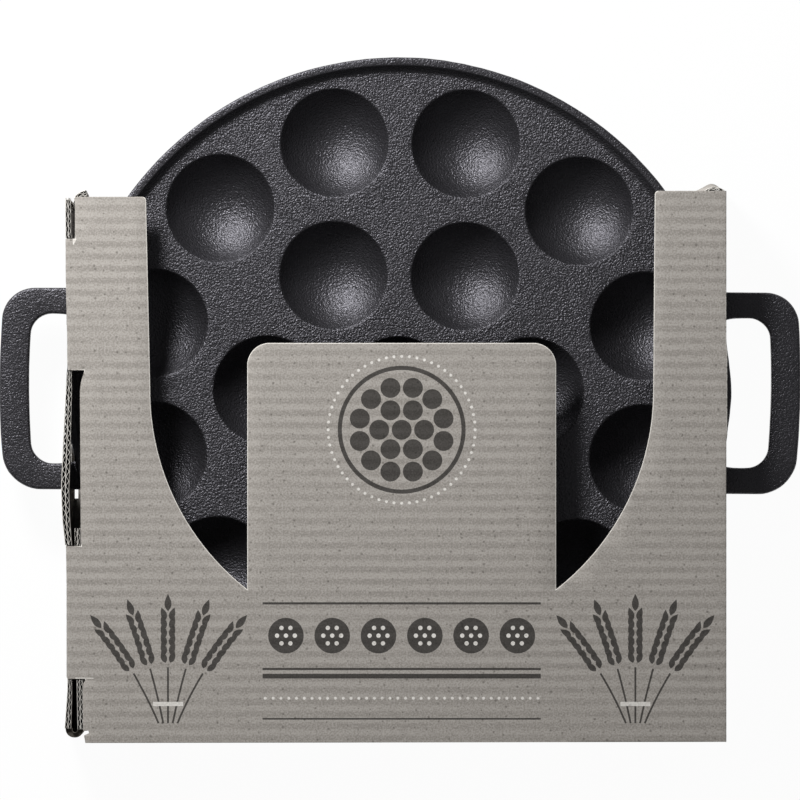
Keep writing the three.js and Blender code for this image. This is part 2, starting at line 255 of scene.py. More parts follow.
@dataclass(frozen=True)
class SeasonedIron(Finish):
    """Sand-cast iron with a baked-on oil seasoning.

    The mould's sand leaves rounded pebbles all over, and the thin black seasoning gives each of them a small
    soft glint.
    """

    name: str = "sand_cast_seasoned_iron"
    crest: str = "#28272a"
    # the pits' colour is painted shade, darker than the iron's own crest colour
    shaded_hollow: str = "#151516"
    pit_shade_tones: tuple[float, float] = (0.1, 0.6)
    pebble: float = 0.74
    grit: float = 0.5
    pit: float = -0.35
    relief: float = 0.48
    patch: float = 14.0
    sheen: tuple[float, float] = (0.36, 0.43)
    index: float = 1.65
    tint: str = "#f6f4ff"
    cup_share: float = 0.74
    cup_top: float = 24.4
    cup_fade: float = 2.0
    lip_share: float = 0.6
    lip_top: float = 27.4
    lip_fade: float = 1.0
    handle_share: float = 0.9
    handle_root: float = 120.5
    root_fade: float = 2.0

    def sharpness(self, tree: Tree, place: Socket) -> Socket:
        """How much of the relief is left: less in the cups, on the lip and on the handles.

        Args:
            tree: the material's node tree.
            place: places on the casting.

        Returns:
            A share from 0 to 1.
        """
        parts = add_node(tree, "SeparateXYZ", links={0: place}).outputs
        aside = add_node(tree, "Math", {"operation": "ABSOLUTE"}, {0: parts["X"]}).outputs[0]
        steps = (
            (parts["Z"], self.cup_top, self.cup_fade, (self.cup_share, 1.0)),
            (parts["Z"], self.lip_top, self.lip_fade, (1.0, self.lip_share)),
            (aside, self.handle_root, self.root_fade, (1.0, self.handle_share)),
        )
        shares = []
        for value, end, fade, (before, after) in steps:
            span = {"From Min": (end - fade) * MM, "From Max": end * MM, "To Min": before, "To Max": after}
            shares.append(add_node(tree, "MapRange", span, {"Value": value}).outputs[0])
        both = add_node(tree, "Math", {"operation": "MULTIPLY"}, {0: shares[0], 1: shares[1]}).outputs[0]
        return add_node(tree, "Math", {"operation": "MULTIPLY"}, {0: both, 1: shares[2]}).outputs[0]

    def dress(self, tree: Tree, shader: bpy.types.Node) -> None:
        """Adds pebbled relief, painted shade that darkens its pits, and a patchy sheen.

        Args:
            tree: the material's node tree.
            shader: its Principled shader.
        """
        place = add_node(tree, "TexCoord").outputs["Object"]
        pebbles = add_node(tree, "TexNoise", {"Scale": per_mm(self.pebble), "Detail": 2.0, "Roughness": 0.55},
                           {"Vector": place}).outputs["Fac"]
        grit = add_node(tree, "TexVoronoi",
                        {"feature": "SMOOTH_F1", "Scale": per_mm(self.grit), "Smoothness": 0.7},
                        {"Vector": place}).outputs["Distance"]
        patches = add_node(tree, "TexNoise", {"Scale": per_mm(self.patch), "Detail": 3.0},
                           {"Vector": place}).outputs["Fac"]
        height = add_node(tree, "Math", {"operation": "MULTIPLY_ADD", 1: self.pit},
                          {0: grit, 2: pebbles}).outputs[0]
        bump = add_node(tree, "Bump", {"Distance": self.relief * MM},
                        {"Height": height, "Strength": self.sharpness(tree, place)})
        # painted shade: the lower a place lies on the pebbled relief, the darker its colour
        low, high = self.pit_shade_tones
        tone = add_node(tree, "MapRange", {"From Min": low, "From Max": high}, {"Value": height}).outputs[0]
        colour = add_node(tree, "Mix", {"data_type": "RGBA", 6: linear(self.shaded_hollow), 7: linear(self.crest)},
                          {0: tone})
        low, high = self.sheen
        sheen = add_node(tree, "MapRange", {**MIDDLE, "To Min": low, "To Max": high}, {"Value": patches})
        tree.links.new(colour.outputs[2], shader.inputs["Base Color"])
        tree.links.new(sheen.outputs[0], shader.inputs["Roughness"])
        tree.links.new(bump.outputs[0], shader.inputs["Normal"])
        shader.inputs["Metallic"].default_value = 0.0
        shader.inputs["IOR"].default_value = self.index
        shader.inputs["Specular Tint"].default_value = linear(self.tint)


@dataclass(frozen=True)
class KraftLiner(Finish):
    """Grey kraft liner of corrugated board.

    Short fibres mottle it, dark specks of recycled pulp dot it, and soft bands of painted shade lie over the flutes
    beneath, where the liner's washboard would be shaded.
    """

    name: str = "grey_kraft_liner"
    paper: str = "#aaa59f"
    # the darker tone, which both the painted band shade and the random mottle and grain blend towards
    shade: str = "#8c8781"
    fleck: str = "#4c4741"
    fibre: str = "#cbc7c0"
    band: float = 4.33
    band_edge: float = 0.6
    band_shade: tuple[float, float] = (0.07, 0.31)
    drift: float = 26.0
    mottle: float = 3.4
    mottle_share: float = 0.9
    grain: float = 0.65
    grain_share: float = 3.3
    balance: float = -1.6
    speck: float = 4.0
    speck_width: float = 0.17
    speck_depth: float = 0.75
    bare_share: float = 0.15
    fibre_size: tuple[float, float] = (2.6, 0.6)
    fibre_turn: float = 0.4
    fibre_range: tuple[float, float] = (0.74, 0.82)
    fibre_depth: float = 0.6
    tooth: float = 0.05
    tooth_share: float = 0.5
    roughness: float = 0.85
    gloss: float = 0.3

    def plan(self, tree: Tree) -> Socket:
        """Places across and along the flutes, whichever way a panel faces.

        Args:
            tree: the material's node tree.

        Returns:
            A vector with the way along the flutes in X and the way across them in Y.
        """
        place = add_node(tree, "SeparateXYZ", links={0: add_node(tree, "TexCoord").outputs["Object"]}).outputs
        along = add_node(tree, "Math", {"operation": "ADD"}, {0: place["X"], 1: place["Z"]}).outputs[0]
        return add_node(tree, "CombineXYZ", links={"X": along, "Y": place["Y"]}).outputs[0]

    def tone(self, tree: Tree, plan: Socket, grain: Socket) -> Socket:
        """How dark the paper is: painted shade in bands over the flutes that come and go, with mottling and grain.

        Args:
            tree: the material's node tree.
            plan: places across and along the flutes.
            grain: the fine grain.

        Returns:
            A share from 0 for pale to 1 for dark.
        """
        across = add_node(tree, "SeparateXYZ", links={0: plan}).outputs["Y"]
        drift = add_node(tree, "TexNoise", {"Scale": per_mm(self.drift), "Detail": 2.0},
                         {"Vector": plan}).outputs["Fac"]
        phase = add_node(tree, "Math", {"operation": "MULTIPLY_ADD", 1: TURN * per_mm(self.band)},
                         {0: across, 2: drift})
        wave = add_node(tree, "Math", {"operation": "SINE"}, {0: phase.outputs[0]})
        crisp = add_node(tree, "MapRange",
                         {"From Min": -self.band_edge, "From Max": self.band_edge, "To Min": -1.0},
                         {"Value": wave.outputs[0]})
        # painted shade: dark bands across the flutes, as the washboard over them would be shaded
        low, high = self.band_shade
        strength = add_node(tree, "MapRange", {**MIDDLE, "To Min": low, "To Max": high}, {"Value": drift})
        bands = add_node(tree, "Math", {"operation": "MULTIPLY_ADD", 2: self.balance},
                         {0: crisp.outputs[0], 1: strength.outputs[0]})
        mottle = add_node(tree, "TexNoise", {"Scale": per_mm(self.mottle), "Detail": 4.0, "Roughness": 0.65},
                          {"Vector": plan})
        mottled = add_node(tree, "Math", {"operation": "MULTIPLY_ADD", 1: self.mottle_share},
                           {0: mottle.outputs["Fac"], 2: bands.outputs[0]})
        return add_node(tree, "Math", {"operation": "MULTIPLY_ADD", 1: self.grain_share},
                        {0: grain, 2: mottled.outputs[0]}).outputs[0]

    def flecks(self, tree: Tree, plan: Socket) -> Socket:
        """Where dark specks of recycled pulp lie, each of its own size.

        Args:
            tree: the material's node tree.
            plan: places across and along the flutes.

        Returns:
            A share from 0 to 1.
        """
        cells = add_node(tree, "TexVoronoi", {"voronoi_dimensions": "2D", "Scale": per_mm(self.speck)},
                         {"Vector": plan}).outputs
        chance = add_node(tree, "SeparateXYZ", links={0: cells["Color"]})
        width = add_node(tree, "MapRange",
                         {"From Min": self.bare_share, "To Min": 0.0, "To Max": self.speck_width},
                         {"Value": chance.outputs["X"]})
        return add_node(tree, "MapRange", {"To Min": self.speck_depth, "To Max": 0.0},
                        {"Value": cells["Distance"], "From Max": width.outputs[0]}).outputs[0]

    def fibres(self, tree: Tree, plan: Socket) -> Socket:
        """Where pale fibres lie on the face.

        Args:
            tree: the material's node tree.
            plan: places across and along the flutes.

        Returns:
            A share from 0 to 1.
        """
        scale = (*map(per_mm, self.fibre_size), 1.0)
        stretched = add_node(tree, "Mapping", {"Scale": scale, "Rotation": (0.0, 0.0, self.fibre_turn)},
                             {"Vector": plan})
        streaks = add_node(tree, "TexNoise", {"Scale": 1.0, "Detail": 1.0}, {"Vector": stretched.outputs[0]})
        low, high = self.fibre_range
        return add_node(tree, "MapRange", {"From Min": low, "From Max": high, "To Max": self.fibre_depth},
                        {"Value": streaks.outputs["Fac"]}).outputs[0]

    def dress(self, tree: Tree, shader: bpy.types.Node) -> None:
        """Adds banded, mottled paper with specks, fibres and a fine tooth.

        Args:
            tree: the material's node tree.
            shader: its Principled shader.
        """
        plan = self.plan(tree)
        grain = add_node(tree, "TexNoise", {"Scale": per_mm(self.grain), "Detail": 2.0, "Roughness": 0.6},
                         {"Vector": plan}).outputs["Fac"]
        paper = add_node(tree, "Mix", {"data_type": "RGBA", 6: linear(self.paper), 7: linear(self.shade)},
                         {0: self.tone(tree, plan, grain)})
        specked = add_node(tree, "Mix", {"data_type": "RGBA", 7: linear(self.fleck)},
                           {0: self.flecks(tree, plan), 6: paper.outputs[2]})
        fibred = add_node(tree, "Mix", {"data_type": "RGBA", 7: linear(self.fibre)},
                          {0: self.fibres(tree, plan), 6: specked.outputs[2]})
        bump = add_node(tree, "Bump", {"Strength": self.tooth_share, "Distance": self.tooth * MM},
                        {"Height": grain})
        tree.links.new(fibred.outputs[2], shader.inputs["Base Color"])
        tree.links.new(bump.outputs[0], shader.inputs["Normal"])
        shader.inputs["Roughness"].default_value = self.roughness
        shader.inputs["Specular IOR Level"].default_value = self.gloss


@dataclass(frozen=True)
class CutPaper(Finish):
    """Raw cut edge of paper: pale, fibrous and fully matt."""

    name: str = "raw_cut_paper"
    pale: str = "#e6e3dd"
    dull: str = "#c2bdb5"
    fuzz: float = 0.6
    fuzz_depth: float = 0.08
    fuzz_share: float = 0.6
    roughness: float = 0.95
    gloss: float = 0.2

    def dress(self, tree: Tree, shader: bpy.types.Node) -> None:
        """Adds a fibrous mottle and a fuzzy relief.

        Args:
            tree: the material's node tree.
            shader: its Principled shader.
        """
        place = add_node(tree, "TexCoord").outputs["Object"]
        fuzz = add_node(tree, "TexNoise", {"Scale": per_mm(self.fuzz), "Detail": 3.0, "Roughness": 0.7},
                        {"Vector": place}).outputs["Fac"]
        tone = add_node(tree, "MapRange", MIDDLE, {"Value": fuzz})
        colour = add_node(tree, "Mix", {"data_type": "RGBA", 6: linear(self.dull), 7: linear(self.pale)},
                          {0: tone.outputs[0]})
        bump = add_node(tree, "Bump", {"Strength": self.fuzz_share, "Distance": self.fuzz_depth * MM},
                        {"Height": fuzz})
        tree.links.new(colour.outputs[2], shader.inputs["Base Color"])
        tree.links.new(bump.outputs[0], shader.inputs["Normal"])
        shader.inputs["Roughness"].default_value = self.roughness
        shader.inputs["Specular IOR Level"].default_value = self.gloss


class Face(IntEnum):
    """Material slots of a board piece."""

    LINER = 0
    RAW = 1
    # the fluting paper, darkened as painted shade deep in the flutes, the folds and the gaps between liners
    SHADED_FLUTE = 2
    INK = 3
    WHITE = 4


Mark = tuple[Face, Points]


# Mesh making

class MeshDraft:
    """Points in millimetres and faces that become one object."""

    def __init__(self) -> None:
        """Starts an empty draft."""
        self.points: list[Points] = []
        self.faces: list[tuple[int, ...]] = []
        self.slots: list[int] = []
        self.count = 0

    def add(self, points: Points, faces: Sequence[Sequence[int]], slots: int | Sequence[int] = 0) -> None:
        """Adds points and the faces between them.

        Args:
            points: an array of points.
            faces: corner indices into those points.
            slots: one material slot for all the faces, or one for each.
        """
        self.points.append(np.asarray(points, float))
        self.faces.extend(tuple(self.count + int(i) for i in face) for face in faces)
        self.slots.extend([int(slots)] * len(faces) if np.isscalar(slots) else [int(s) for s in slots])
        self.count += len(points)

    def rings(self, rings: Points, slots: int | Sequence[int] = 0) -> None:
        """Adds a skin over closed rings of equal length.

        Args:
            rings: an array of rings, points and coordinates.
            slots: one material slot for all the faces, or one for each.
        """
        count, around = rings.shape[:2]
        faces = []
        for i in range(count - 1):
            for j in range(around):
                k = (j + 1) % around
                faces.append((i * around + j, i * around + k, (i + 1) * around + k, (i + 1) * around + j))
        self.add(rings.reshape(-1, 3), faces, slots)

    def make(self, name: str, materials: Sequence[bpy.types.Material], weld: float = 1e-3,
             sharp: float = 40.0) -> bpy.types.Object:
        """Turns the draft into an object with its faces outward.

        Args:
            name: the object's name.
            materials: its materials, in slot order.
            weld: how near points in millimetres become one.
            sharp: the angle in degrees above which an edge stays crisp.

        Returns:
            The new object.
        """
        mesh = bpy.data.meshes.new(name)
        mesh.from_pydata((np.concatenate(self.points) * MM).tolist(), [], self.faces)
        mesh.polygons.foreach_set("material_index", self.slots)
        for material in materials:
            mesh.materials.append(material)
        body = bmesh.new()
        body.from_mesh(mesh)
        bmesh.ops.remove_doubles(body, verts=body.verts, dist=weld * MM)
        bmesh.ops.dissolve_degenerate(body, edges=body.edges, dist=1e-5 * MM)
        bmesh.ops.delete(body, geom=[v for v in body.verts if not v.link_faces], context="VERTS")
        bmesh.ops.recalc_face_normals(body, faces=body.faces)
        body.to_mesh(mesh)
        body.free()
        smooth(mesh, sharp)
        piece = bpy.data.objects.new(name, mesh)
        bpy.context.scene.collection.objects.link(piece)
        return piece


def smooth(mesh: bpy.types.Mesh, sharp: float) -> None:
    """Shades a mesh smooth, with crisp edges above an angle in degrees."""
    mesh.shade_smooth()
    mesh.set_sharp_from_angle(angle=math.radians(sharp))


def arc(centre: Sequence[float], radius: float, start: float, end: float, steps: int) -> Points:
    """Points of an arc in a plane.

    Args:
        centre: the arc's centre.
        radius: its radius.
        start: the first angle in degrees.
        end: the last angle in degrees.
        steps: how many chords it has.

    Returns:
        One point more than there are chords.
    """
    angles = np.radians(np.linspace(start, end, steps + 1))
    return np.column_stack((centre[0] + radius * np.cos(angles), centre[1] + radius * np.sin(angles)))


def circle(centre: Sequence[float], radius: float, steps: int) -> Points:
    """Points of a full circle, without a repeated end."""
    return arc(centre, radius, 0, 360, steps)[:-1]


def at_height(flat: Points, height: float) -> Points:
    """Points in plan, lifted to one height."""
    return np.column_stack((flat, np.full(len(flat), height)))


def turned_left(loop: Points) -> Points:
    """The outline with its points in counter-clockwise order."""
    after = np.roll(loop, -1, 0)
    return loop if np.sum(loop[:, 0] * after[:, 1] - after[:, 0] * loop[:, 1]) > 0 else loop[::-1]


def inset(loop: Points, distance: float) -> Points:
    """Moves a closed outline inward.

    Args:
        loop: the outline's points, counter-clockwise.
        distance: how far each edge moves.

    Returns:
        As many points, moved along the bisectors of their corners.
    """
    after, before = np.roll(loop, -1, 0), np.roll(loop, 1, 0)
    out, back = after - loop, loop - before
    out /= np.linalg.norm(out, axis=1)[:, None]
    back /= np.linalg.norm(back, axis=1)[:, None]
    normal = np.column_stack((-(out + back)[:, 1], (out + back)[:, 0]))
    stretch = 1 + np.sum(out * back, axis=1)
    return loop + normal * (distance / np.maximum(stretch, 0.2))[:, None]


@dataclass
class Filling:
    """Triangles that fill outlines, with the outlines that each lies in."""

    points: Points
    triangles: Points
    inside: list[set[int]]

    def kept(self, wanted: Callable[[set[int]], bool]) -> Points:
        """The triangles whose outlines are wanted."""
        return self.triangles[[wanted(s) for s in self.inside]]


def fill(loops: Sequence[Points], guides: Sequence[Points] = (), points: Points | None = None) -> Filling:
    """Fills outlines with triangles.

    Args:
        loops: closed outlines.
        guides: open lines that triangles don't cross.
        points: further points that become corners.

    Returns:
        The triangles of all the outlines and of the gaps between them.
    """
    corners: list[Sequence[float]] = []
    faces, edges = [], []
    for loop in map(turned_left, loops):
        faces.append(list(range(len(corners), len(corners) + len(loop))))
        corners.extend(loop)
    for guide in guides:
        edges.extend((len(corners) + i, len(corners) + i + 1) for i in range(len(guide) - 1))
        corners.extend(guide)
    if points is not None:
        corners.extend(points)
    made = delaunay_2d_cdt([Vector(c) for c in corners], edges, faces, 0, 1e-5, True)
    return Filling(np.array([v[:] for v in made[0]]), np.array(made[2]), [set(s) for s in made[5]])


def border(triangles: Points) -> list[tuple[int, int]]:
    """Edges that only one triangle has, in that triangle's order.

    Args:
        triangles: corner indices, three to a triangle.

    Returns:
        Pairs of corner indices.
    """
    seen: dict[tuple[int, int], tuple[int, int]] = {}
    for a, b, c in triangles:
        for edge in ((a, b), (b, c), (c, a)):
            key = (min(edge), max(edge))
            if key in seen:
                seen.pop(key)
            else:
                seen[key] = edge
    return list(seen.values())


def ease(value: Points | float, low: float, high: float) -> Points | float:
    """A smooth step from 0 at low to 1 at high."""
    share = np.clip((np.asarray(value, float) - low) / (high - low), 0, 1)
    return share * share * (3 - 2 * share)


def waves(points: Points, size: float, seed: float) -> Points:
    """Smooth noise from -1 to 1 at points in millimetres.

    Args:
        points: where it is read.
        size: the width of one wave.
        seed: which noise it is.

    Returns:
        One value for each point.
    """
    flat = points if points.shape[1] == 3 else np.column_stack((points, np.zeros(len(points))))
    return np.array([noise.noise(Vector(p) / size + Vector((seed, -seed, seed))) for p in flat])


# The pan

@dataclass
class PanCasting:
    """The pan: plate, rim, skirt, cups and handles in one iron casting.

    The flat beside a handle has a depth, a bump's height and its width. A swell of the skin has a height,
    a width and a seed.
    """

    pitch: float = 47.85
    mouth: float = 19.55
    cup_depth: float = 11.2
    mouth_round: float = 0.8
    lowest: float = -87.5
    rings: tuple[int, ...] = (6, 12)
    wall: float = 4.2
    shell_blend: float = 2.5
    rim_rise: float = 2.8
    rim_land: float = 3.16
    rim_slope: float = 2.2
    rim_foot: float = 1.8
    land_cut: float = 0.9
    shoulder: tuple[float, float] = (0.9, 1.5)
    lip: float = 2.9
    lip_inner: float = 0.7
    lip_start: float = 145.0
    lip_outer: float = 0.8
    heel_round: float = 1.0
    skirt_turn: float = -13.0
    draft: float = 6.0
    release: float = 1.0
    handle_reach: dict[int, float] = field(default_factory=lambda: {-1: 23.65, 1: 24.7})
    handle_width: float = 72.7
    handle_bow: float = 2.1
    bow_middle: float = 3.5
    handle_bar: float = 10.6
    handle_arm: float = 9.4
    handle_thick: float = 8.0
    handle_drop: float = 8.0
    handle_corner: tuple[float, float] = (11.0, 12.5)
    opening_corner: float = 7.2
    root_fillet: float = 5.0
    root_sink: float = 1.4
    flare_sink: float = 0.7
    handle_round: float = 1.0
    flat: tuple[float, float, float] = (0.8, 0.6, 9.5)
    flat_span: tuple[float, float] = (25.0, 65.0)
    lie: float = -0.39
    spread: tuple[float, float] = (0.989, 0.998)
    swells: tuple[tuple[float, float, float], ...] = ((0.07, 3.4, 2.0), (0.10, 17.0, 5.0))
    crisp: float = 60.0
    around: int = 432
    around_cup: int = 72
    down_cup: int = 17
    spacing: float = 1.7
    edge_clear: float = 0.7
    under_spacing: float = 2.2
    under_clear: float = 1.2
    node: str = "pan_casting"

    def __post_init__(self) -> None:
        """Works out the casting's levels and radii from the frame."""
        low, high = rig.box(self.node)
        self.base = low.z / MM
        self.top = high.z / MM
        self.plate = self.top - self.rim_rise
        outer_ring = self.pitch / (2 * math.sin(math.pi / self.rings[-1]))
        self.plate_radius = outer_ring + self.mouth + self.rim_land
        self.rim = self.plate_radius + self.rim_slope + self.lip
        self.sphere = (self.mouth ** 2 + self.cup_depth ** 2) / (2 * self.cup_depth)
        self.sphere_z = self.plate - self.cup_depth + self.sphere

    def centres(self) -> Points:
        """Cup centres: one in the middle, and rings one pitch apart.

        Returns:
            Their places in plan.
        """
        places = [(0.0, 0.0)]
        for count in self.rings:
            turn = math.pi / count if count == self.rings[-1] else 0.0
            radius = self.pitch / (2 * math.sin(math.pi / count))
            for i in range(count):
                angle = turn + TURN * i / count
                places.append((radius * math.cos(angle), radius * math.sin(angle)))
        return np.array(places) * self.spread

    def skirt(self, height: float) -> float:
        """Radius of the skirt's outer face at a height above the floor."""
        return self.rim - self.draft * (self.top - height) / (self.top - self.base)

    def hexagonal(self, radius: float, spacing: float) -> Points:
        """Evenly spread points within a radius.

        Args:
            radius: how far from the middle they reach.
            spacing: how far apart they are.

        Returns:
            Their places in plan.
        """
        rows = np.arange(-radius, radius, spacing * math.sqrt(3) / 2)
        points = [
            (x + (spacing / 2 if i % 2 else 0), y)
            for i, y in enumerate(rows)
            for x in np.arange(-radius, radius, spacing)
            if math.hypot(x + (spacing / 2 if i % 2 else 0), y) < radius
        ]
        return np.array(points)

    def mouth_profile(self) -> Points:
        """Radius and height from the plate over a mouth's rounded edge to the cup's lowest ring.

        Returns:
            Points of the profile.
        """
        round_z = self.plate - self.mouth_round
        reach = self.sphere + self.mouth_round
        round_r = math.sqrt(reach ** 2 - (self.sphere_z - round_z) ** 2)
        turn = math.degrees(math.atan2(self.sphere_z - round_z, -round_r))
        edge = arc((round_r, round_z), self.mouth_round, 90, turn, 4)
        start = math.degrees(math.atan2(edge[-1][1] - self.sphere_z, edge[-1][0]))
        bowl = arc((0, self.sphere_z), self.sphere, start, self.lowest, self.down_cup)
        return np.vstack((edge, bowl[1:]))

    def add_plate_and_cups(self, draft: MeshDraft) -> None:
        """Adds the cooking surface with its cups.

        Args:
            draft: the mesh that gets them.
        """
        profile, centres = self.mouth_profile(), self.centres()
        widest, clear = profile[0][0], self.edge_clear * self.spacing
        loops = [circle((0, 0), self.land_radius(), self.around)]
        loops += [circle(c, widest, self.around_cup) for c in centres]
        points = self.hexagonal(self.land_radius() - clear, self.spacing)
        gaps = np.linalg.norm(points[:, None] - centres[None], axis=2).min(1)
        filling = fill(loops, points=points[gaps > widest + clear])
        draft.add(at_height(filling.points, self.plate), filling.kept(lambda s: s == {0}))
        for centre in centres:
            rings = np.array([at_height(circle(centre, r, self.around_cup), z) for r, z in profile])
            draft.rings(rings)
            bottom = np.vstack((rings[-1], [(*centre, self.sphere_z - self.sphere)]))
            last = self.around_cup
            draft.add(bottom, [(i, (i + 1) % last, last) for i in range(last)])

    def land_radius(self) -> float:
        """Where the plate turns up into the rim."""
        return self.plate_radius - self.land_cut

    def rim_profile(self) -> Points:
        """Radius and height from the plate over the lip and down the skirt to its inner base edge.

        Returns:
            Points of the profile.
        """
        slope = math.degrees(math.atan2(self.rim_rise, self.rim_slope))
        edge, heel = self.top - self.lip_outer, self.base + self.heel_round
        inner, soft = self.rim - self.lip, self.lip_inner
        return np.vstack((
            arc((self.land_radius(), self.plate + self.rim_foot), self.rim_foot, -90, -90 + slope, 5),
            [(inner - self.shoulder[0], self.top - self.shoulder[1])],
            arc((inner + soft / 2, self.top - soft), soft, self.lip_start, 90, 4),
            arc((self.skirt(edge) - self.lip_outer, edge), self.lip_outer, 90, self.skirt_turn, 5),
            [(self.skirt(z), z) for z in np.linspace(edge - 2, heel + 1, 9)],
            arc((self.skirt(heel) - self.heel_round, heel), self.heel_round, self.skirt_turn, -90, 4),
            [(self.base_inner(), self.base)],
        ))

    def base_inner(self) -> float:
        """Inner radius of the skirt's base."""
        return self.skirt(self.base) - self.wall

    def add_rim(self, draft: MeshDraft) -> None:
        """Adds the rim and the skirt's outside.

        Args:
            draft: the mesh that gets them.
        """
        draft.rings(np.array([at_height(self.rim_ring(r), z) for r, z in self.rim_profile()]))

    def rim_ring(self, radius: float) -> Points:
        """A ring of the rim or the skirt, a touch flat on both sides of each handle's middle.

        Args:
            radius: how wide it is away from the handles.

        Returns:
            Its points in plan.
        """
        depth, bump, width = self.flat
        ring = circle((0, 0), radius, self.around)
        fade = ease(radius, self.base_inner(), self.base_inner() + self.wall)
        beside = (1 - ease(np.abs(ring[:, 1]), *self.flat_span)) * (np.abs(ring[:, 0]) > radius / 2)
        dent = depth - bump * np.exp(-(ring[:, 1] / width) ** 2)
        ring[:, 0] -= np.sign(ring[:, 0]) * fade * beside * dent
        return ring

    def under(self, flat: Points) -> Points:
        """Heights of the underside: domed cup shells, each on a flat pad, filleted into the plate.

        Args:
            flat: places in plan.

        Returns:
            Heights above the floor.
        """
        gaps = np.linalg.norm(flat[:, None] - self.centres()[None], axis=2).min(1)
        shell = self.sphere + self.wall
        dome = self.sphere_z - np.sqrt(np.maximum(shell ** 2 - gaps ** 2, 0))
        blend, plate = self.shell_blend, self.plate - self.wall
        share = np.clip(0.5 + 0.5 * (plate - dome) / blend, 0, 1)
        height = plate + (dome - plate) * share - blend * share * (1 - share)
        return np.where(gaps < shell, np.maximum(height, self.base), plate)

    def add_underside(self, draft: MeshDraft) -> None:
        """Adds the underside inside the skirt.

        Args:
            draft: the mesh that gets it.
        """
        inner, spread = self.base_inner(), self.base_inner() - self.release
        loops = [circle((0, 0), radius, self.around) for radius in (inner, spread)]
        filling = fill(loops, points=self.hexagonal(spread - self.under_clear, self.under_spacing))
        heights = self.under(filling.points)
        heights[np.linalg.norm(filling.points, axis=1) > inner - self.release / 2] = self.base
        draft.add(np.column_stack((filling.points, heights)), filling.kept(lambda s: 0 in s))

    def handle_half(self, reach: float, corner: float) -> Points:
        """Half of the loop handle's plan on the +X side, from its bar round the arm to the opening.

        Args:
            reach: how far from the pan's middle the bar's outer side lies.
            corner: the radius of its outer corner.

        Returns:
            An open line.
        """
        half = self.handle_width / 2
        inside, hole = half - self.handle_arm, self.opening_corner
        end = reach - self.handle_bar - hole
        middle = self.top - self.handle_drop - self.handle_thick / 2
        root = math.sqrt((self.skirt(middle) - self.root_sink) ** 2 - half ** 2)
        flare = inside - self.root_fillet
        flare_x = math.sqrt((self.skirt(middle) - self.flare_sink) ** 2 - flare ** 2)
        share = np.linspace(0, 1, 9)[:, None]
        bend = np.array([(flare_x, flare), (flare_x, inside), (flare_x + 2 * self.root_fillet, inside)])
        curve = bend[0] * (1 - share) ** 2 + 2 * bend[1] * share * (1 - share) + bend[2] * share ** 2
        return np.vstack((
            arc((reach - corner, half - corner), corner, 0, 90, 12),
            [(root, half), (root, flare)],
            curve,
            arc((end, inside - hole), hole, 90, 0, 10),
        ))

    def handle_outline(self, side: int) -> Points:
        """Plan of a loop handle, bowed and rooted in the skirt.

        Args:
            side: 1 for the right one, -1 for the left.

        Returns:
            A closed outline.
        """
        upper, lower = (self.handle_half(self.rim + self.handle_reach[side], c) for c in self.handle_corner)
        lower = lower[::-1] * (1, -1)
        share = np.linspace(0, 1, 14)[1:-1, None]
        inner_bar = upper[-1] * (1 - share) + lower[0] * share
        outer_bar = lower[-1] * (1 - share) + upper[0] * share
        loop = np.vstack((upper, inner_bar, lower, outer_bar))
        loop[:, 0] -= self.handle_bow * ((loop[:, 1] - self.bow_middle) / (self.handle_width / 2)) ** 2
        return loop * (side, 1)

    def handle(self, side: int) -> bpy.types.Object:
        """One handle as a closed solid with rounded edges.

        Args:
            side: 1 for the right one, -1 for the left.

        Returns:
            The handle's object.
        """
        outline = turned_left(self.handle_outline(side))
        high = self.top - self.handle_drop
        low = high - self.handle_thick
        turns, soft = np.radians(np.linspace(0, 90, 6)), self.handle_round
        steps = [(soft * (1 - math.sin(t)), low + soft * (1 - math.cos(t))) for t in turns]
        steps += [(d, high + low - z) for d, z in reversed(steps)]
        rings = np.array([at_height(inset(outline, d), z) for d, z in steps])
        draft = MeshDraft()
        draft.rings(rings)
        for ring in (rings[0], rings[-1]):
            cap = fill([ring[:, :2]])
            draft.add(at_height(cap.points, ring[0][2]), cap.kept(lambda s: 0 in s))
        return draft.make("handle", [])

    def build(self, iron: bpy.types.Material) -> bpy.types.Object:
        """Builds the whole casting.

        Args:
            iron: its material.

        Returns:
            The casting's object.
        """
        draft = MeshDraft()
        self.add_plate_and_cups(draft)
        self.add_rim(draft)
        self.add_underside(draft)
        casting = draft.make("pan", [iron])
        for side in (1, -1):
            fuse(casting, self.handle(side))
        self.roughen(casting.data)
        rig.replaces(casting, self.node)
        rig.slot(casting, "seasoned_iron")
        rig.ride(casting, "pan_and_tray")
        return casting

    def roughen(self, mesh: bpy.types.Mesh) -> None:
        """Gives the cast skin its slight waviness, and turns the pan as it lies in the sleeve.

        Args:
            mesh: the casting's mesh, changed in place.
        """
        points = np.array([v.co for v in mesh.vertices]) / MM
        normals = np.array([v.normal for v in mesh.vertices])
        lift = sum(height * waves(points, width, seed) for height, width, seed in self.swells)
        points += normals * lift[:, None]
        sine, cosine = math.sin(math.radians(self.lie)), math.cos(math.radians(self.lie))
        points[:, :2] = points[:, :2] @ np.array(((cosine, sine), (-sine, cosine)))
        mesh.vertices.foreach_set("co", (points * MM).astype(np.float32).ravel())
        mesh.polygons.foreach_set("material_index", [0] * len(mesh.polygons))
        smooth(mesh, self.crisp)


def fuse(base: bpy.types.Object, tool: bpy.types.Object) -> None:
    """Joins one closed solid to another, and removes it.

    Args:
        base: the solid that stays.
        tool: the solid that it takes in.
    """
    union = base.modifiers.new("union", "BOOLEAN")
    union.operation, union.solver, union.object = "UNION", "EXACT", tool
    joined = bpy.data.meshes.new_from_object(base.evaluated_get(bpy.context.evaluated_depsgraph_get()))
    base.modifiers.clear()
    base.data = joined
    bpy.data.objects.remove(tool)


# The sleeve

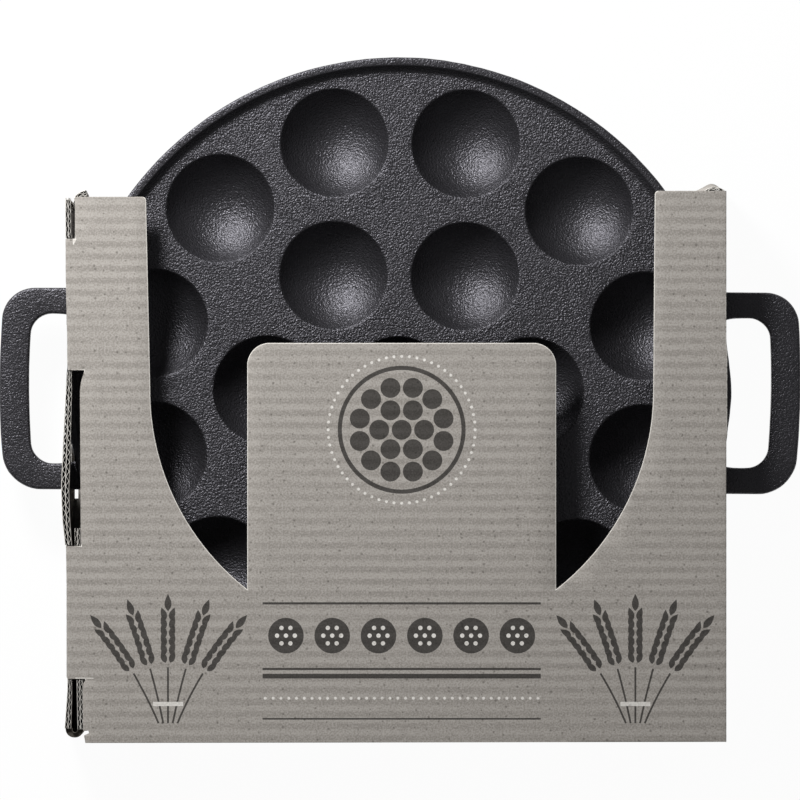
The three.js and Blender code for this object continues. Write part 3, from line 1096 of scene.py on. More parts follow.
@dataclass(frozen=True)
class Board:
    """Double-wall micro-flute board: three liners with a fluted paper in each gap."""

    thickness: float = 2.5
    liner: float = 0.2
    centre: float = 0.17
    medium: float = 0.13
    pitch: float = 3.46
    slant: float = 0.2
    stagger: float = 0.3
    peak: float = 0.9
    band: float = 4.33
    ripple: float = 0.025
    cut_width: float = 0.27
    cut_drop: float = 0.12
    open_depth: float = 9.0

    def flute(self, along: Points, across: Points, gap: int) -> Points:
        """Height of a fluted paper in one of the two gaps.

        Args:
            along: places along the flutes, which run a little askew.
            across: places across the flutes.
            gap: 0 for the inner gap, 1 for the outer.

        Returns:
            Heights of its middle above the board's inner face.
        """
        low = self.liner if gap == 0 else (self.thickness + self.centre) / 2
        high = (self.thickness - self.centre) / 2 if gap == 0 else self.thickness - self.liner
        turns = (across + self.slant * along) / self.pitch + self.stagger * gap
        wave = np.arcsin(self.peak * np.sin(TURN * turns)) / math.asin(self.peak)
        return (low + high) / 2 + wave * (high - low - self.medium) / 2

    def washboard(self, across: Points) -> Points:
        """How far the liner dips between flutes."""
        return self.ripple * (0.5 - 0.5 * np.sin(TURN * across / self.band))


@dataclass
class BoardPanel:
    """One flat or bent panel of board, drawn along and across its flutes."""

    node: str
    body: str
    outline: Points
    place: Mapping
    board: Board = Board()
    holes: list[Points] = field(default_factory=list)
    on_fold: Callable[[Points], Points] = lambda flat: np.zeros(len(flat), bool)
    # where a narrow band along the cut edge is pale: partly bare fibres, partly a painted highlight
    bare_and_lit_edge: Callable[[Points], Points] = lambda flat: np.ones(len(flat), bool)
    marks: list[Mark] = field(default_factory=list)
    slot: str = "kraft_board"
    column: float = 12.0
    flute_column: float = 4.0
    centre_row: float = 6.0
    back_off: float = 0.06

    def __post_init__(self) -> None:
        """Turns the outlines counter-clockwise."""
        self.outline = turned_left(self.outline)
        self.holes = [turned_left(h) for h in self.holes]

    def guides(self, row: float, column: float) -> list[Points]:
        """Lines along and across the flutes.

        Args:
            row: the spacing across the flutes.
            column: the spacing along them.

        Returns:
            Lines that reach past the outline.
        """
        low, high = self.outline.min(0) - 1, self.outline.max(0) + 1
        rows = np.arange(math.ceil(low[1] / row) * row, high[1], row)
        columns = np.arange(math.ceil(low[0] / column) * column, high[0], column)
        lines = [np.array([(low[0], v), (high[0], v)]) for v in rows]
        return lines + [np.array([(u, low[1]), (u, high[1])]) for u in columns]

    def add_sheet(self, draft: MeshDraft, flat: Points, triangles: Points, low: Points, high: Points,
                  slots: tuple[Sequence[int], Sequence[int], Sequence[int]]) -> None:
        """Adds a thin closed sheet between two heights.

        Args:
            draft: the mesh that gets it.
            flat: its corners along and across the flutes.
            triangles: its faces.
            low: the height of each corner's lower end.
            high: the height of each corner's upper end.
            slots: material slots of the upper faces, the lower faces and the rim's edges.
        """
        count = len(flat)
        points = np.vstack((np.column_stack((flat, high)), np.column_stack((flat, low))))
        upper, lower, rim = slots
        faces = [tuple(t) for t in triangles] + [tuple(t[::-1] + count) for t in triangles]
        faces += [(b, a, a + count, b + count) for a, b in border(triangles)]
        draft.add(self.place(points), faces, [*upper, *lower, *rim])

    def add_liner(self, draft: MeshDraft, outer: bool) -> None:
        """Adds the outer or inner liner with its crushed cut edge.

        Args:
            draft: the mesh that gets it.
            outer: whether it is the outer liner.
        """
        board = self.board
        trimmed = inset(self.outline, board.cut_width)
        marks = self.marks if outer else []
        loops = [self.outline, trimmed, *self.holes, *(loop for _, loop in marks)]
        filling = fill(loops, self.guides(board.band / 6, self.column))
        first = 2 + len(self.holes)
        holes = set(range(2, first))
        keep = [0 in s and not s & holes for s in filling.inside]
        flat, triangles = filling.points, filling.triangles[keep]
        inside = np.array([1 in s for s in filling.inside])[keep]
        folded = self.on_fold(flat)
        edge = np.zeros(len(flat), bool)
        edge[[i for pair in border(triangles) for i in pair]] = True
        drop = np.where(edge & ~folded, board.cut_drop, 0.0) + board.washboard(flat[:, 1])
        # partly painted highlight: the narrow band along a cut edge takes pale bare paper where the rounded edge would
        # catch the light
        bare_and_lit = ~inside & ~folded[triangles].any(1) & self.bare_and_lit_edge(flat[triangles].mean(1))
        last = np.array([max(s, default=0) for s in filling.inside])[keep] - first
        face = np.where(bare_and_lit, Face.RAW, Face.LINER)
        for i, (mark, _) in enumerate(marks):
            face[last == i] = mark
        hidden = np.full(len(triangles), Face.SHADED_FLUTE)
        rim = [Face.SHADED_FLUTE if folded[a] and folded[b] else Face.RAW for a, b in border(triangles)]
        if outer:
            high, low = board.thickness - drop, np.full(len(flat), board.thickness - board.liner)
            self.add_sheet(draft, flat, triangles, low, high, (face, hidden, rim))
        else:
            high, low = np.full(len(flat), board.liner), drop
            self.add_sheet(draft, flat, triangles, low, high, (hidden, face, rim))

    def near_cut(self, flat: Points, triangles: Points) -> Points:
        """Which triangles lie near enough to a cut edge to be seen from it.

        Args:
            flat: their corners.
            triangles: corner indices.

        Returns:
            One truth value for each triangle.
        """
        middles = flat[triangles].mean(1)
        nearest = np.full(len(middles), np.inf)
        for loop in (self.outline, *self.holes):
            ends = np.roll(loop, -1, 0)
            folds = self.on_fold(loop) & self.on_fold(ends)
            for start, end in zip(loop[~folds], ends[~folds]):
                along = end - start
                share = np.clip((middles - start) @ along / (along @ along), 0, 1)
                gaps = np.linalg.norm(middles - start - share[:, None] * along, axis=1)
                nearest = np.minimum(nearest, gaps)
        return (nearest < self.board.open_depth) & ~self.on_fold(middles)

    def add_fluting(self, draft: MeshDraft) -> None:
        """Adds the fluted papers and the centre liner along the cut edges.

        Args:
            draft: the mesh that gets them.
        """
        board = self.board
        trimmed = inset(self.outline, self.back_off)
        for gap in (0, 1, None):
            row = board.pitch / 8 if gap is not None else self.centre_row
            filling = fill([trimmed, *self.holes], self.guides(row, self.flute_column))
            holes = set(range(1, 1 + len(self.holes)))
            triangles = filling.kept(lambda s: 0 in s and not s & holes)
            triangles = triangles[self.near_cut(filling.points, triangles)]
            if not len(triangles):
                continue
            used, numbers = np.unique(triangles, return_inverse=True)
            flat, triangles = filling.points[used], numbers.reshape(-1, 3)
            middle = board.flute(*flat.T, gap) if gap is not None else np.full(len(flat), board.thickness / 2)
            half = (board.medium if gap is not None else board.centre) / 2
            face = np.full(len(triangles), Face.SHADED_FLUTE)
            rim = [Face.RAW] * len(border(triangles))
            self.add_sheet(draft, flat, triangles, middle - half, middle + half, (face, face, rim))

    def build(self, papers: Sequence[bpy.types.Material]) -> list[bpy.types.Object]:
        """Builds the panel's liners and its fluting.

        Args:
            papers: the materials of a board piece, in slot order.

        Returns:
            The liners' object and the fluting's.
        """
        liners, fluting = MeshDraft(), MeshDraft()
        self.add_liner(liners, True)
        self.add_liner(liners, False)
        self.add_fluting(fluting)
        skin = liners.make(self.node + "_liners", papers)
        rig.replaces(skin, self.node)
        pieces = [skin]
        if fluting.count:
            pieces.append(fluting.make(self.node + "_fluting", papers))
        for piece in pieces:
            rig.slot(piece, self.slot)
            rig.ride(piece, self.body)
        return pieces


class Axis(Enum):
    """Which way a folded strip runs."""

    ALONG_Y = "y"
    ALONG_Z = "z"


@dataclass
class FoldStrip:
    """A bent strip of board at a crease, swept along its line."""

    name: str
    outer: Points
    inner: Points
    axis: Axis
    start: float
    end: float
    board: Board = Board()
    slot: str = "kraft_board"
    cap: Face = Face.SHADED_FLUTE
    rim: Face = Face.RAW
    sink: float = 0.0
    ridge: tuple[int, int] = (1, 5)
    sway: Callable[[float], float] = lambda station: 0.0
    worn: Callable[[Points], Points] = lambda stations: np.zeros(len(stations), bool)

    def ends(self) -> list[tuple[float, float, float]]:
        """Middles of the strip's two long sides, in metres."""
        middles = (self.outer[[0, -1]] + self.inner[[0, -1]]) / 2
        return [tuple(p * MM) for p in np.vstack([self.lift(m[None], 0.0) for m in middles])]

    def build(self, papers: Sequence[bpy.types.Material]) -> bpy.types.Object:
        """Sweeps the bent section along the crease.

        Args:
            papers: the materials of a board piece, in slot order.

        Returns:
            The strip's object.
        """
        stations = np.append(np.arange(self.start, self.end, self.board.band / 6), self.end)
        rings = np.array([self.ring(station) for station in stations])
        faces = np.full((len(stations) - 1, rings.shape[1]), Face.LINER)
        faces[self.worn((stations[1:] + stations[:-1]) / 2), slice(*self.ridge)] = Face.RAW
        draft = MeshDraft()
        draft.rings(rings, faces.ravel())
        for station, sunk in ((self.start, self.start + self.sink), (self.end, self.end - self.sink)):
            self.add_cap(draft, station, sunk)
        strip = draft.make(self.name, papers)
        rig.slot(strip, self.slot)
        return strip

    def add_cap(self, draft: MeshDraft, station: float, sunk: float) -> None:
        """Closes an end of the strip, with its fluting crushed below its liners.

        Args:
            draft: the mesh that gets it.
            station: where the liners end.
            sunk: where the fluting ends.
        """
        outer, upper, lower, inner = self.layers(station)
        levels = ((outer, station), (upper, station), (upper, sunk), (lower, sunk), (lower, station))
        lifted = [self.lift(*level) for level in (*levels, (inner, station))]
        count = len(outer)
        quads = [(k, k + 1, count + k + 1, count + k) for k in range(count - 1)]
        slots = (self.rim, self.cap, self.cap, self.cap, self.rim)
        for before, after, slot in zip(lifted, lifted[1:], slots):
            draft.add(np.vstack((before, after)), quads, slot)

    def layers(self, station: float) -> list[Points]:
        """Lines between the strip's papers from its outer side to its inner, at a station.

        Args:
            station: where along the crease.

        Returns:
            Four lines in the strip's section.
        """
        thickness = self.board.thickness
        liner, dip = self.board.liner / thickness, self.board.washboard(station) / thickness
        across, sway = self.inner - self.outer, (self.sway(station), 0.0)
        return [self.outer + across * share + sway for share in (dip, liner, 1 - liner, 1)]

    def ring(self, station: float) -> Points:
        """The strip's outline at a station.

        Args:
            station: where along the crease.

        Returns:
            A closed ring of points.
        """
        outer, upper, lower, inner = self.layers(station)
        section = np.vstack((outer, upper[-1:], lower[-1:], inner[::-1], lower[:1], upper[:1]))
        return self.lift(section, station)

    def lift(self, section: Points, station: float) -> Points:
        """Places a section at its station on the crease."""
        placed = at_height(section, station)
        return placed[:, (0, 2, 1)] if self.axis is Axis.ALONG_Y else placed


@dataclass
class Path:
    """A bent line in plan that a panel follows, by length."""

    points: Points

    def __post_init__(self) -> None:
        """Measures the line."""
        steps = np.linalg.norm(np.diff(self.points, axis=0), axis=1)
        self.stations = np.concatenate(([0.0], np.cumsum(steps)))
        self.length = float(self.stations[-1])

    def at(self, length: Points) -> tuple[Points, Points]:
        """Points and left-hand normals at lengths along the line.

        Args:
            length: how far along, clamped to the line.

        Returns:
            The points and the unit normals.
        """
        spot = np.column_stack([np.interp(length, self.stations, self.points[:, i]) for i in (0, 1)])
        step = 0.05
        ahead = np.column_stack([np.interp(length + step, self.stations, self.points[:, i]) for i in (0, 1)])
        behind = np.column_stack([np.interp(length - step, self.stations, self.points[:, i]) for i in (0, 1)])
        along = ahead - behind
        along /= np.linalg.norm(along, axis=1)[:, None]
        return spot, np.column_stack((-along[:, 1], along[:, 0]))


def curve_through(knots: Sequence[Sequence[float]], steps: int = 12) -> Points:
    """A smooth line through points.

    Args:
        knots: the points, in order.
        steps: how many chords lie between two of them.

    Returns:
        Points of a Catmull-Rom curve.
    """
    points = np.array(knots, float)
    padded = np.vstack((2 * points[0] - points[1], points, 2 * points[-1] - points[-2]))
    share = np.linspace(0, 1, steps, endpoint=False)[:, None]
    made = []
    for a, b, c, d in zip(padded, padded[1:], padded[2:], padded[3:]):
        made.append(0.5 * (2 * b + (c - a) * share + (2 * a - 5 * b + 4 * c - d) * share ** 2
                           + (3 * b - a - 3 * c + d) * share ** 3))
    return np.vstack((*made, points[-1:]))


@dataclass
class PanelPrint:
    """Two-colour print on the front panel: a plan of the cups, a row of cakes, sheaves of wheat and rules."""

    axis: float
    plan_y: float = -14.0
    plan_radius: float = 23.0
    plan_margin: float = 3.0
    plan_rows: float = 2.48
    outer_row: float = 1.93
    ring_width: float = 1.5
    dot: float = 3.6
    beads: int = 60
    bead: float = 0.55
    bead_gap: float = 3.4
    cake_y: float = -88.0
    cake: float = 6.4
    cakes: int = 6
    cake_step: float = 2.6
    sugar: float = 0.8
    rules: tuple[tuple[float, float], ...] = ((-76.8, 0.8), (-100.4, 0.8), (-103.4, 1.7), (-118.2, 0.6))
    rule_half: float = 50.0
    row_y: float = -110.5
    row_half: float = 49.0
    row_beads: int = 36
    sheaf_x: float = 84.0
    sheaf_y: float = -119.5
    foot_step: float = 1.7
    lean_step: float = 0.2
    stalk_steps: int = 14
    stalk_step: float = 1.55
    stalk_half: float = 0.34
    stalk_bend: float = 0.03
    grain: tuple[float, float] = (4.7, 2.2)
    grain_lean: float = 0.34
    grain_side: float = 0.8
    tip: tuple[float, float] = (6.2, 2.5)
    band: tuple[float, float, float] = (5.4, 6.2, 1.5)

    def bar(self, left: float, right: float, y: float, height: float) -> Points:
        """A straight rule."""
        return np.array([(left, y), (right, y), (right, y + height), (left, y + height)])

    def kernel(self, base: Points, heading: float, length: float, width: float) -> Points:
        """A pointed grain.

        Args:
            base: its lower end.
            heading: its direction in radians.
            length: how long it is.
            width: how wide it is.

        Returns:
            Its outline.
        """
        share = np.linspace(0, 1, 9)[:, None]
        half = width / 2 * np.sin(math.pi * share ** 0.8)
        along = np.array((math.cos(heading), math.sin(heading)))
        across = np.array((-along[1], along[0]))
        spine = base + length * share * along
        return np.vstack((spine + half * across, (spine - half * across)[-2:0:-1]))

    def ear(self, foot: Points, lean: float, grains: int = 6) -> list[Points]:
        """An ear of wheat on a stalk that bends outward.

        Args:
            foot: where the stalk begins.
            lean: how far it leans to the left at its foot, in radians.
            grains: how many pairs of grains it has.

        Returns:
            Outlines of the stalk and the grains.
        """
        root, end = self.stalk_steps, self.stalk_steps + 2 * grains
        turns = math.pi / 2 + lean * (1 + self.stalk_bend * np.arange(end + 1))
        steps = self.stalk_step * np.column_stack((np.cos(turns), np.sin(turns)))
        stalk = foot + np.vstack((np.zeros((1, 2)), np.cumsum(steps, 0)))
        sides = np.column_stack((-np.sin(turns), np.cos(turns)))
        edge = self.stalk_half * sides[:root]
        made = [np.vstack((stalk[:root] + edge, (stalk[:root] - edge)[::-1]))]
        for i in range(root, end, 2):
            for hand in (1, -1):
                base = stalk[i] + hand * self.grain_side * sides[i]
                made.append(self.kernel(base, turns[i] + hand * self.grain_lean, *self.grain))
        return [*made, self.kernel(stalk[end], turns[-1], *self.tip)]

    def cake_centres(self) -> Points:
        """Centres of the row of cakes."""
        across = (np.arange(self.cakes) - (self.cakes - 1) / 2) * self.cake_step * self.cake
        return np.column_stack((self.axis + across, np.full(self.cakes, self.cake_y)))

    def sheaf_feet(self) -> list[tuple[float, float]]:
        """Feet of the two sheaves."""
        return [(self.axis + side * self.sheaf_x, self.sheaf_y) for side in (-1, 1)]

    def marks(self) -> list[Mark]:
        """Every printed outline with its colour, later ones over earlier ones.

        Returns:
            Colours and outlines.
        """
        centre, radius = (self.axis, self.plan_y), self.plan_radius
        plan = circle(centre, radius, 72)
        bare = circle(centre, radius - self.ring_width, 72)
        dark = [(Face.INK, loop) for loop in self.dark()]
        white = [(Face.WHITE, loop) for loop in self.white()]
        return [(Face.INK, plan), (Face.LINER, bare), *dark, *white]

    def dark(self) -> list[Points]:
        """Outlines in dark ink: the plan's cups, the cakes, the rules and the wheat.

        Returns:
            Closed outlines.
        """
        centre = np.array((self.axis, self.plan_y))
        pitch = (self.plan_radius - self.plan_margin) / self.plan_rows
        rows = ((1, 0.0, 0.0), (6, pitch, 0.0), (12, pitch * self.outer_row, math.pi / 12))
        made = []
        for count, radius, turn in rows:
            for i in range(count):
                angle = turn + TURN * i / count
                spot = centre + radius * np.array((math.cos(angle), math.sin(angle)))
                made.append(circle(spot, self.dot, 28))
        made += [circle(c, self.cake, 44) for c in self.cake_centres()]
        left, right = self.axis - self.rule_half, self.axis + self.rule_half
        made += [self.bar(left, right, *rule) for rule in self.rules]
        for x, y in self.sheaf_feet():
            for i in range(-2, 3):
                made.extend(self.ear(np.array((x - self.foot_step * i, y)), self.lean_step * i))
        return made

    def white(self) -> list[Points]:
        """Outlines in white ink: beads in a ring and a row, sugar on the cakes and the sheaves' bands.

        Returns:
            Closed outlines.
        """
        ring = circle((self.axis, self.plan_y), self.plan_radius + self.bead_gap, self.beads)
        made = [circle(c, self.bead, 10) for c in ring]
        sugar = np.vstack((circle((0, 0), 0.5 * self.cake, 6), [(0, 0)]))
        for centre in self.cake_centres():
            made += [circle(centre + s, self.sugar, 12) for s in sugar]
        row = np.linspace(self.axis - self.row_half, self.axis + self.row_half, self.row_beads)
        made += [circle((x, self.row_y), self.bead, 10) for x in row]
        half, rise, height = self.band
        made += [self.bar(x - half, x + half, y + rise, height) for x, y in self.sheaf_feet()]
        return made


@dataclass
class Sleeve:
    """The folded display sleeve round the pan."""

    board: Board = Board()
    slack: float = 0.3
    fold_ease: float = 0.1
    window_axis: float = 1.1
    window_radius: float = 90.4
    window_gap: float = 34.9
    tongue_top: float = 17.2
    tongue_corner: float = 8.0
    wing_corner: float = 1.3
    left_wing_spread: float = 1.5
    right_wing_spread: float = 0.6
    left_wing_drop: float = 1.25
    right_wing_rise: float = 0.9
    top_cut: float = 3.4
    mid_cut: float = 5.2
    mid_flare: float = 0.8
    mid_drop: float = 4.2
    mid_lean: float = 0.3
    bottom_cut: float = 6.3
    torn_corner: tuple[tuple[float, float], ...] = (
        (0.0, 3.9), (1.95, 4.1), (2.15, 3.1), (0.35, 2.3), (0.85, -0.4),
    )
    back_corner: tuple[tuple[float, float], ...] = (
        (1.4, 2.7), (4.2, 2.7), (6.9, 5.4), (9.5, 4.8), (9.5, 0.0),
    )
    head_tear: tuple[tuple[float, float], ...] = (
        (0.0, 0.0), (0.0, -2.1), (0.3, -2.1), (0.9, -0.9), (1.3, 0.0),
    )
    foot_slit: tuple[tuple[float, float], ...] = ((0.0, 0.0), (6.7, 0.0), (6.7, 0.3), (0.0, 0.4))
    warp: tuple[float, float, float] = (0.25, 70.0, 3.0)
    warp_reach: float = 25.0
    lean_reach: float = 30.0
    # how far the pale edge bands reach, partly bare fibres and partly painted highlight
    bare_and_lit_window: tuple[float, float] = (2.5, 20.0)
    bare_and_lit_end: tuple[float, float] = (0.6, 4.0)
    slot_half: float = 39.3
    slot_floor: float = 7.6
    slot_over_handle: float = 20.6
    slot_over_rim: float = 28.6
    left_rim_half: float = 23.5
    right_rim_half: float = 34.6
    flap_set: float = 1.5
    flap_crush: float = 0.9
    flap_clip: tuple[float, float, float] = (1.1, 1.6, 0.8)
    tab_clip: float = 3.0
    crush_start: float = 0.4
    crush_reach: float = 3.0
    crease_crush: dict[str, float] = field(default_factory=lambda: {"left": 0.5, "right": 0.0})
    left_turn: float = 2.9
    left_bulge: tuple[tuple[float, float], ...] = (
        (0.0, -2.9), (0.05, 0.3), (0.45, 0.95), (1.3, 1.0), (2.0, 0.3),
    )
    flap_bends: dict[str, tuple[tuple[float, float], ...]] = field(default_factory=lambda: {
        "left": ((0.0, -2.9), (0.3, -1.9), (1.1, -1.5), (1.9, -1.1), (2.6, 0.3), (3.5, 2.0), (6.3, 3.4)),
        "right": ((0.0, 0.0), (0.1, 3.0), (-1.1, 3.9), (-3.6, 4.3), (-6.4, 2.9), (-9.3, 1.5)),
    })
    flap_crease: float = 2.4
    flap_pitch: float = 2.3
    flap_medium: dict[str, float] = field(default_factory=lambda: {"left": 0.17, "right": 0.38})
    flap_slant: dict[str, float] = field(default_factory=lambda: {"left": 0.2, "right": 0.37})
    flap_twist: dict[str, float] = field(default_factory=lambda: {"left": 0.0, "right": 1.6})
    twist_reach: float = 5.0
    fold_gap: float = 1.65
    fold_crush: float = 0.88
    fold_pinch: float = 0.7
    fold_sink: float = 1.0
    flap_close: dict[int, float] = field(default_factory=lambda: {-1: 1.15, 1: 0.0})
    right_tuck: float = 0.42
    right_bulge: tuple[tuple[float, float], ...] = (
        (-18.5, 0.0), (-15.5, 0.38), (-10.0, 0.36), (10.0, 0.36), (12.5, 0.46), (18.5, 0.0),
    )
    worn: tuple[float, float] = (-14.0, 36.0)
    scuff: tuple[float, float, float] = (1.3, 4.0, -0.25)
    left_edge: tuple[tuple[float, float, float], ...] = (
        (-122.0, 0.35, 0.95), (-110.0, -0.5, 0.75), (-104.0, -0.85, 0.6), (-102.0, 0.0, 1.0),
        (-58.0, 0.0, 1.0), (-55.0, 0.2, 1.0), (-46.0, 1.2, 1.15), (-36.0, 1.6, 1.2), (-20.0, 1.0, 1.15),
        (0.0, -0.1, 0.9), (7.0, -0.7, 0.6), (10.0, 0.0, 1.0), (54.0, 0.0, 1.0), (56.0, 0.0, 0.82),
        (70.0, 0.1, 0.82),
    )
    crease_round: float = 0.3
    tab_lean: tuple[tuple[float, float], ...] = (
        (-105.5, 0.0), (-104.0, 0.85), (-58.0, 0.2), (-50.0, 0.0),
        (0.0, 0.0), (7.0, 0.85), (42.0, 0.05), (55.0, 0.0),
    )
    back_hole: tuple[float, float, float, float] = (0.05, 1.35, -38.9, -35.6)
    bent_column: float = 4.0

    def __post_init__(self) -> None:
        """Reads the sleeve's faces and stations from the frame."""
        front_low, front_high = (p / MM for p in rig.box("front_panel"))
        wall_low, wall_high = (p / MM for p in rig.box("left_wall"))
        upper_low, upper_high = (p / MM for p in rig.box("upper_lock_tab"))
        lower_low, lower_high = (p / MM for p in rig.box("lower_lock_tab"))
        self.left, self.right = front_low.x, front_high.x - self.right_tuck
        self.bottom, self.top = front_low.y, front_high.y
        self.under, self.face = front_low.z, front_high.z
        self.wall_bottom, self.wall_top = wall_low.y, wall_high.y
        self.upper = (upper_low.y, upper_high.y)
        self.lower = (lower_low.y, lower_high.y)
        self.notch = upper_low.z - self.slack
        self.flap_seat = self.wall_top - self.flap_set
        self.bend = self.board.thickness + self.fold_ease
        self.fold_left, self.fold_right = self.left + self.bend, self.right - self.bend
        self.wall_base, self.wall_head = self.bend, self.face - self.bend

    def front_outline(self) -> Points:
        """Front panel: cut back beside the standing edges, with a window round the tongue.

        Returns:
            The outline's points.
        """
        axis, radius, corner = self.window_axis, self.window_radius, self.tongue_corner
        tongue = radius - self.window_gap
        root = math.degrees(math.acos(tongue / radius))
        shoulder, wing = self.tongue_top - corner, self.wing_corner
        left_x, left_y = axis - radius - self.left_wing_spread, self.top - self.left_wing_drop
        right_x, right_y = axis + radius + self.right_wing_spread, self.top + self.right_wing_rise
        head, middle, foot = (self.left + cut for cut in (self.top_cut, self.mid_cut, self.bottom_cut))
        left = [
            (head, left_y), (head, self.upper[1]),
            (self.fold_left, self.upper[1]), (self.fold_left, self.upper[0]),
            (middle + self.mid_flare, self.upper[0]), (middle, self.upper[0] - self.mid_drop),
            (middle + self.mid_lean, self.lower[1]),
            (self.fold_left, self.lower[1]), (self.fold_left, self.lower[0]), (foot, self.lower[0]),
        ]
        return np.vstack((
            left,
            np.array(self.torn_corner) + (foot, self.bottom),
            [(self.fold_right, self.bottom), (self.fold_right, right_y)],
            arc((right_x + wing, right_y - wing), wing, 90, 180, 5),
            arc((axis, 0), radius, 0, -root, 40),
            arc((axis + tongue - corner, shoulder), corner, 0, 90, 12),
            arc((axis - tongue + corner, shoulder), corner, 90, 180, 12),
            arc((axis, 0), radius, 180 + root, 180, 40),
            arc((left_x - wing, left_y - wing), wing, 0, 90, 5),
        ))

    def front_place(self, local: Points) -> Points:
        """Lays the front panel flat, with the slight warp of handled board.

        Args:
            local: places across and along the panel, and heights above its inner face.

        Returns:
            Those places in the frame, in millimetres.
        """
        height, size, seed = self.warp
        warp = height * waves(local[:, :2], size, seed)
        across, reach = local[:, 0], self.lean_reach
        lean = self.lean(local[:, 1]) * (1 - ease(across, self.fold_left, self.fold_left + reach))
        lean += self.bulge(local[:, 1]) * ease(across, self.fold_right - reach, self.fold_right)
        level = self.under + local[:, 2] + warp * self.free(local)
        return np.column_stack((across + lean, local[:, 1], level))

    def lean(self, along: Points | float) -> Points | float:
        """How far the left fold has been pushed in at places along it."""
        return np.interp(along, *np.array(self.tab_lean).T)

    def bulge(self, along: Points | float) -> Points | float:
        """How far the pan's rim has pushed the right fold out at places along it."""
        return np.interp(along, *np.array(self.right_bulge).T)

    def scuffed(self, along: Points) -> Points:
        """Where the right fold is scuffed pale by the pan's rim.

        Args:
            along: places along the fold.

        Returns:
            Whether each place is scuffed.
        """
        size, seed, level = self.scuff
        patches = waves(np.outer(along, (1, 0)), size, seed) > level
        return (along > self.worn[0]) & (along < self.worn[1]) & patches

    def free(self, local: Points) -> Points:
        """How far a place on the front panel is from its folds, from 0 to 1."""
        left = ease(local[:, 0], self.fold_left, self.fold_left + self.warp_reach)
        return left * (1 - ease(local[:, 0], self.fold_right - self.warp_reach, self.fold_right))

    def between_folds(self, flat: Points) -> Points:
        """Which places lie on the front or back panel's long folds."""
        return (flat[:, 0] < self.fold_left + SNAP) | (flat[:, 0] > self.fold_right - SNAP)

    def bare_and_lit_front(self, flat: Points) -> Points:
        """Which places on the front panel have a pale cut edge, partly bare fibres and partly a painted highlight of
        the rounded edge: the window and the tabs' ends.

        Args:
            flat: places on the panel.

        Returns:
            Whether each place is pale.
        """
        (aside, foot), (near, reach) = self.bare_and_lit_window, self.bare_and_lit_end
        beside = np.abs(flat[:, 0] - self.window_axis) < self.window_radius + aside
        ends = np.abs(flat[:, 1, None] - np.array((*self.upper, *self.lower))).min(1) < near
        return (beside & (flat[:, 1] > self.bottom + foot)) | (ends & (flat[:, 0] < self.fold_left + reach))

    def tears(self) -> list[Mark]:
        """Torn and slit places on the front panel's left side, where bare paper shows.

        Returns:
            Colours and outlines.
        """
        fold = self.fold_left + SNAP
        torn = np.array(self.head_tear) + (fold, self.upper[1] - SNAP)
        slit = np.array(self.foot_slit) + (fold, self.lower[0] + SNAP)
        return [(Face.RAW, torn), (Face.RAW, slit)]

    def front(self) -> BoardPanel:
        """The front panel."""
        marks = [*self.tears(), *PanelPrint(self.window_axis).marks()]
        return BoardPanel("front_panel", "front", self.front_outline(), self.front_place, self.board,
                          on_fold=self.between_folds, bare_and_lit_edge=self.bare_and_lit_front, marks=marks)

    def back(self) -> BoardPanel:
        """The back panel, outer face down.

        Returns:
            The panel.
        """
        corner = np.array(self.back_corner) + (self.left, self.bottom)
        top = self.top - self.left_wing_drop
        outline = np.vstack((corner, [
            (self.fold_right, self.bottom), (self.fold_right, top), (self.fold_left, top),
            (self.fold_left, self.wall_bottom), (corner[0][0], self.wall_bottom),
        ]))
        near, far, low, high = self.back_hole
        hole = np.array([(near, low), (far, low), (far, high), (near, high)]) + (self.fold_left, 0)
        thickness = self.board.thickness
        return BoardPanel("back_panel", "pan_and_tray", outline,
                          lambda p: np.column_stack((p[:, 0], p[:, 1], thickness - p[:, 2])), self.board,
                          [hole], self.between_folds)

    def left_outline(self) -> Points:
        """Left wall: standing edges, notches for the tabs, and the slot under its bridge.

        Returns:
            The outline's points, by height and along the wall.
        """
        seat, slot, rim = self.flap_seat - self.left_turn, self.slot_half, self.left_rim_half
        high_foot, high_head = self.upper[0] - self.slack, self.upper[1] + self.slack
        low_foot, low_head = self.lower[0] - self.slack, self.lower[1] + self.slack
        return np.array([
            (self.wall_base, self.wall_bottom), (self.wall_base, seat), (self.under, seat),
            (self.under, self.wall_top), (self.face, self.wall_top), (self.face, high_head),
            (self.notch, high_head), (self.notch, slot), (self.slot_floor, slot), (self.slot_floor, -slot),
            (self.slot_over_handle, -slot), (self.slot_over_handle, -rim), (self.slot_over_rim, -rim),
            (self.slot_over_rim, high_foot), (self.face, high_foot), (self.face, low_head),
            (self.notch, low_head), (self.notch, low_foot), (self.face, low_foot),
            (self.face, self.wall_bottom),
        ])

    def left_place(self, local: Points) -> Points:
        """Stands the left wall up, its free edges bowed, pinched and swollen by handling.

        Args:
            local: heights, places along the wall, and depths from its inner face.

        Returns:
            Those places in the frame, in millimetres.
        """
        height, along, depth = local.T
        stations, bows, swells = np.array(self.left_edge).T
        share = ease(height, self.wall_base, self.slot_floor)
        bow = np.interp(along, stations, bows) * share
        swell = 1 + (np.interp(along, stations, swells) - 1) * share
        return np.column_stack((self.left - bow + (self.board.thickness - depth) * swell, along, height))

    def wall_folds(self, flat: Points) -> Points:
        """Which places on a wall lie on one of its folds.

        Args:
            flat: heights and places along the wall.

        Returns:
            Whether each place is on a fold.
        """
        low, ends = flat[:, 0] < self.wall_base + SNAP, flat[:, 1] < self.wall_bottom + SNAP
        seats = np.array((self.flap_seat, self.flap_seat - self.left_turn))
        return low | ends | (np.abs(flat[:, 1, None] - seats).min(1) < SNAP)

    def left_wall(self) -> BoardPanel:
        """The left wall."""
        return BoardPanel("left_wall", "pan_and_tray", self.left_outline(), self.left_place, self.board,
                          on_fold=self.wall_folds, column=self.bent_column)

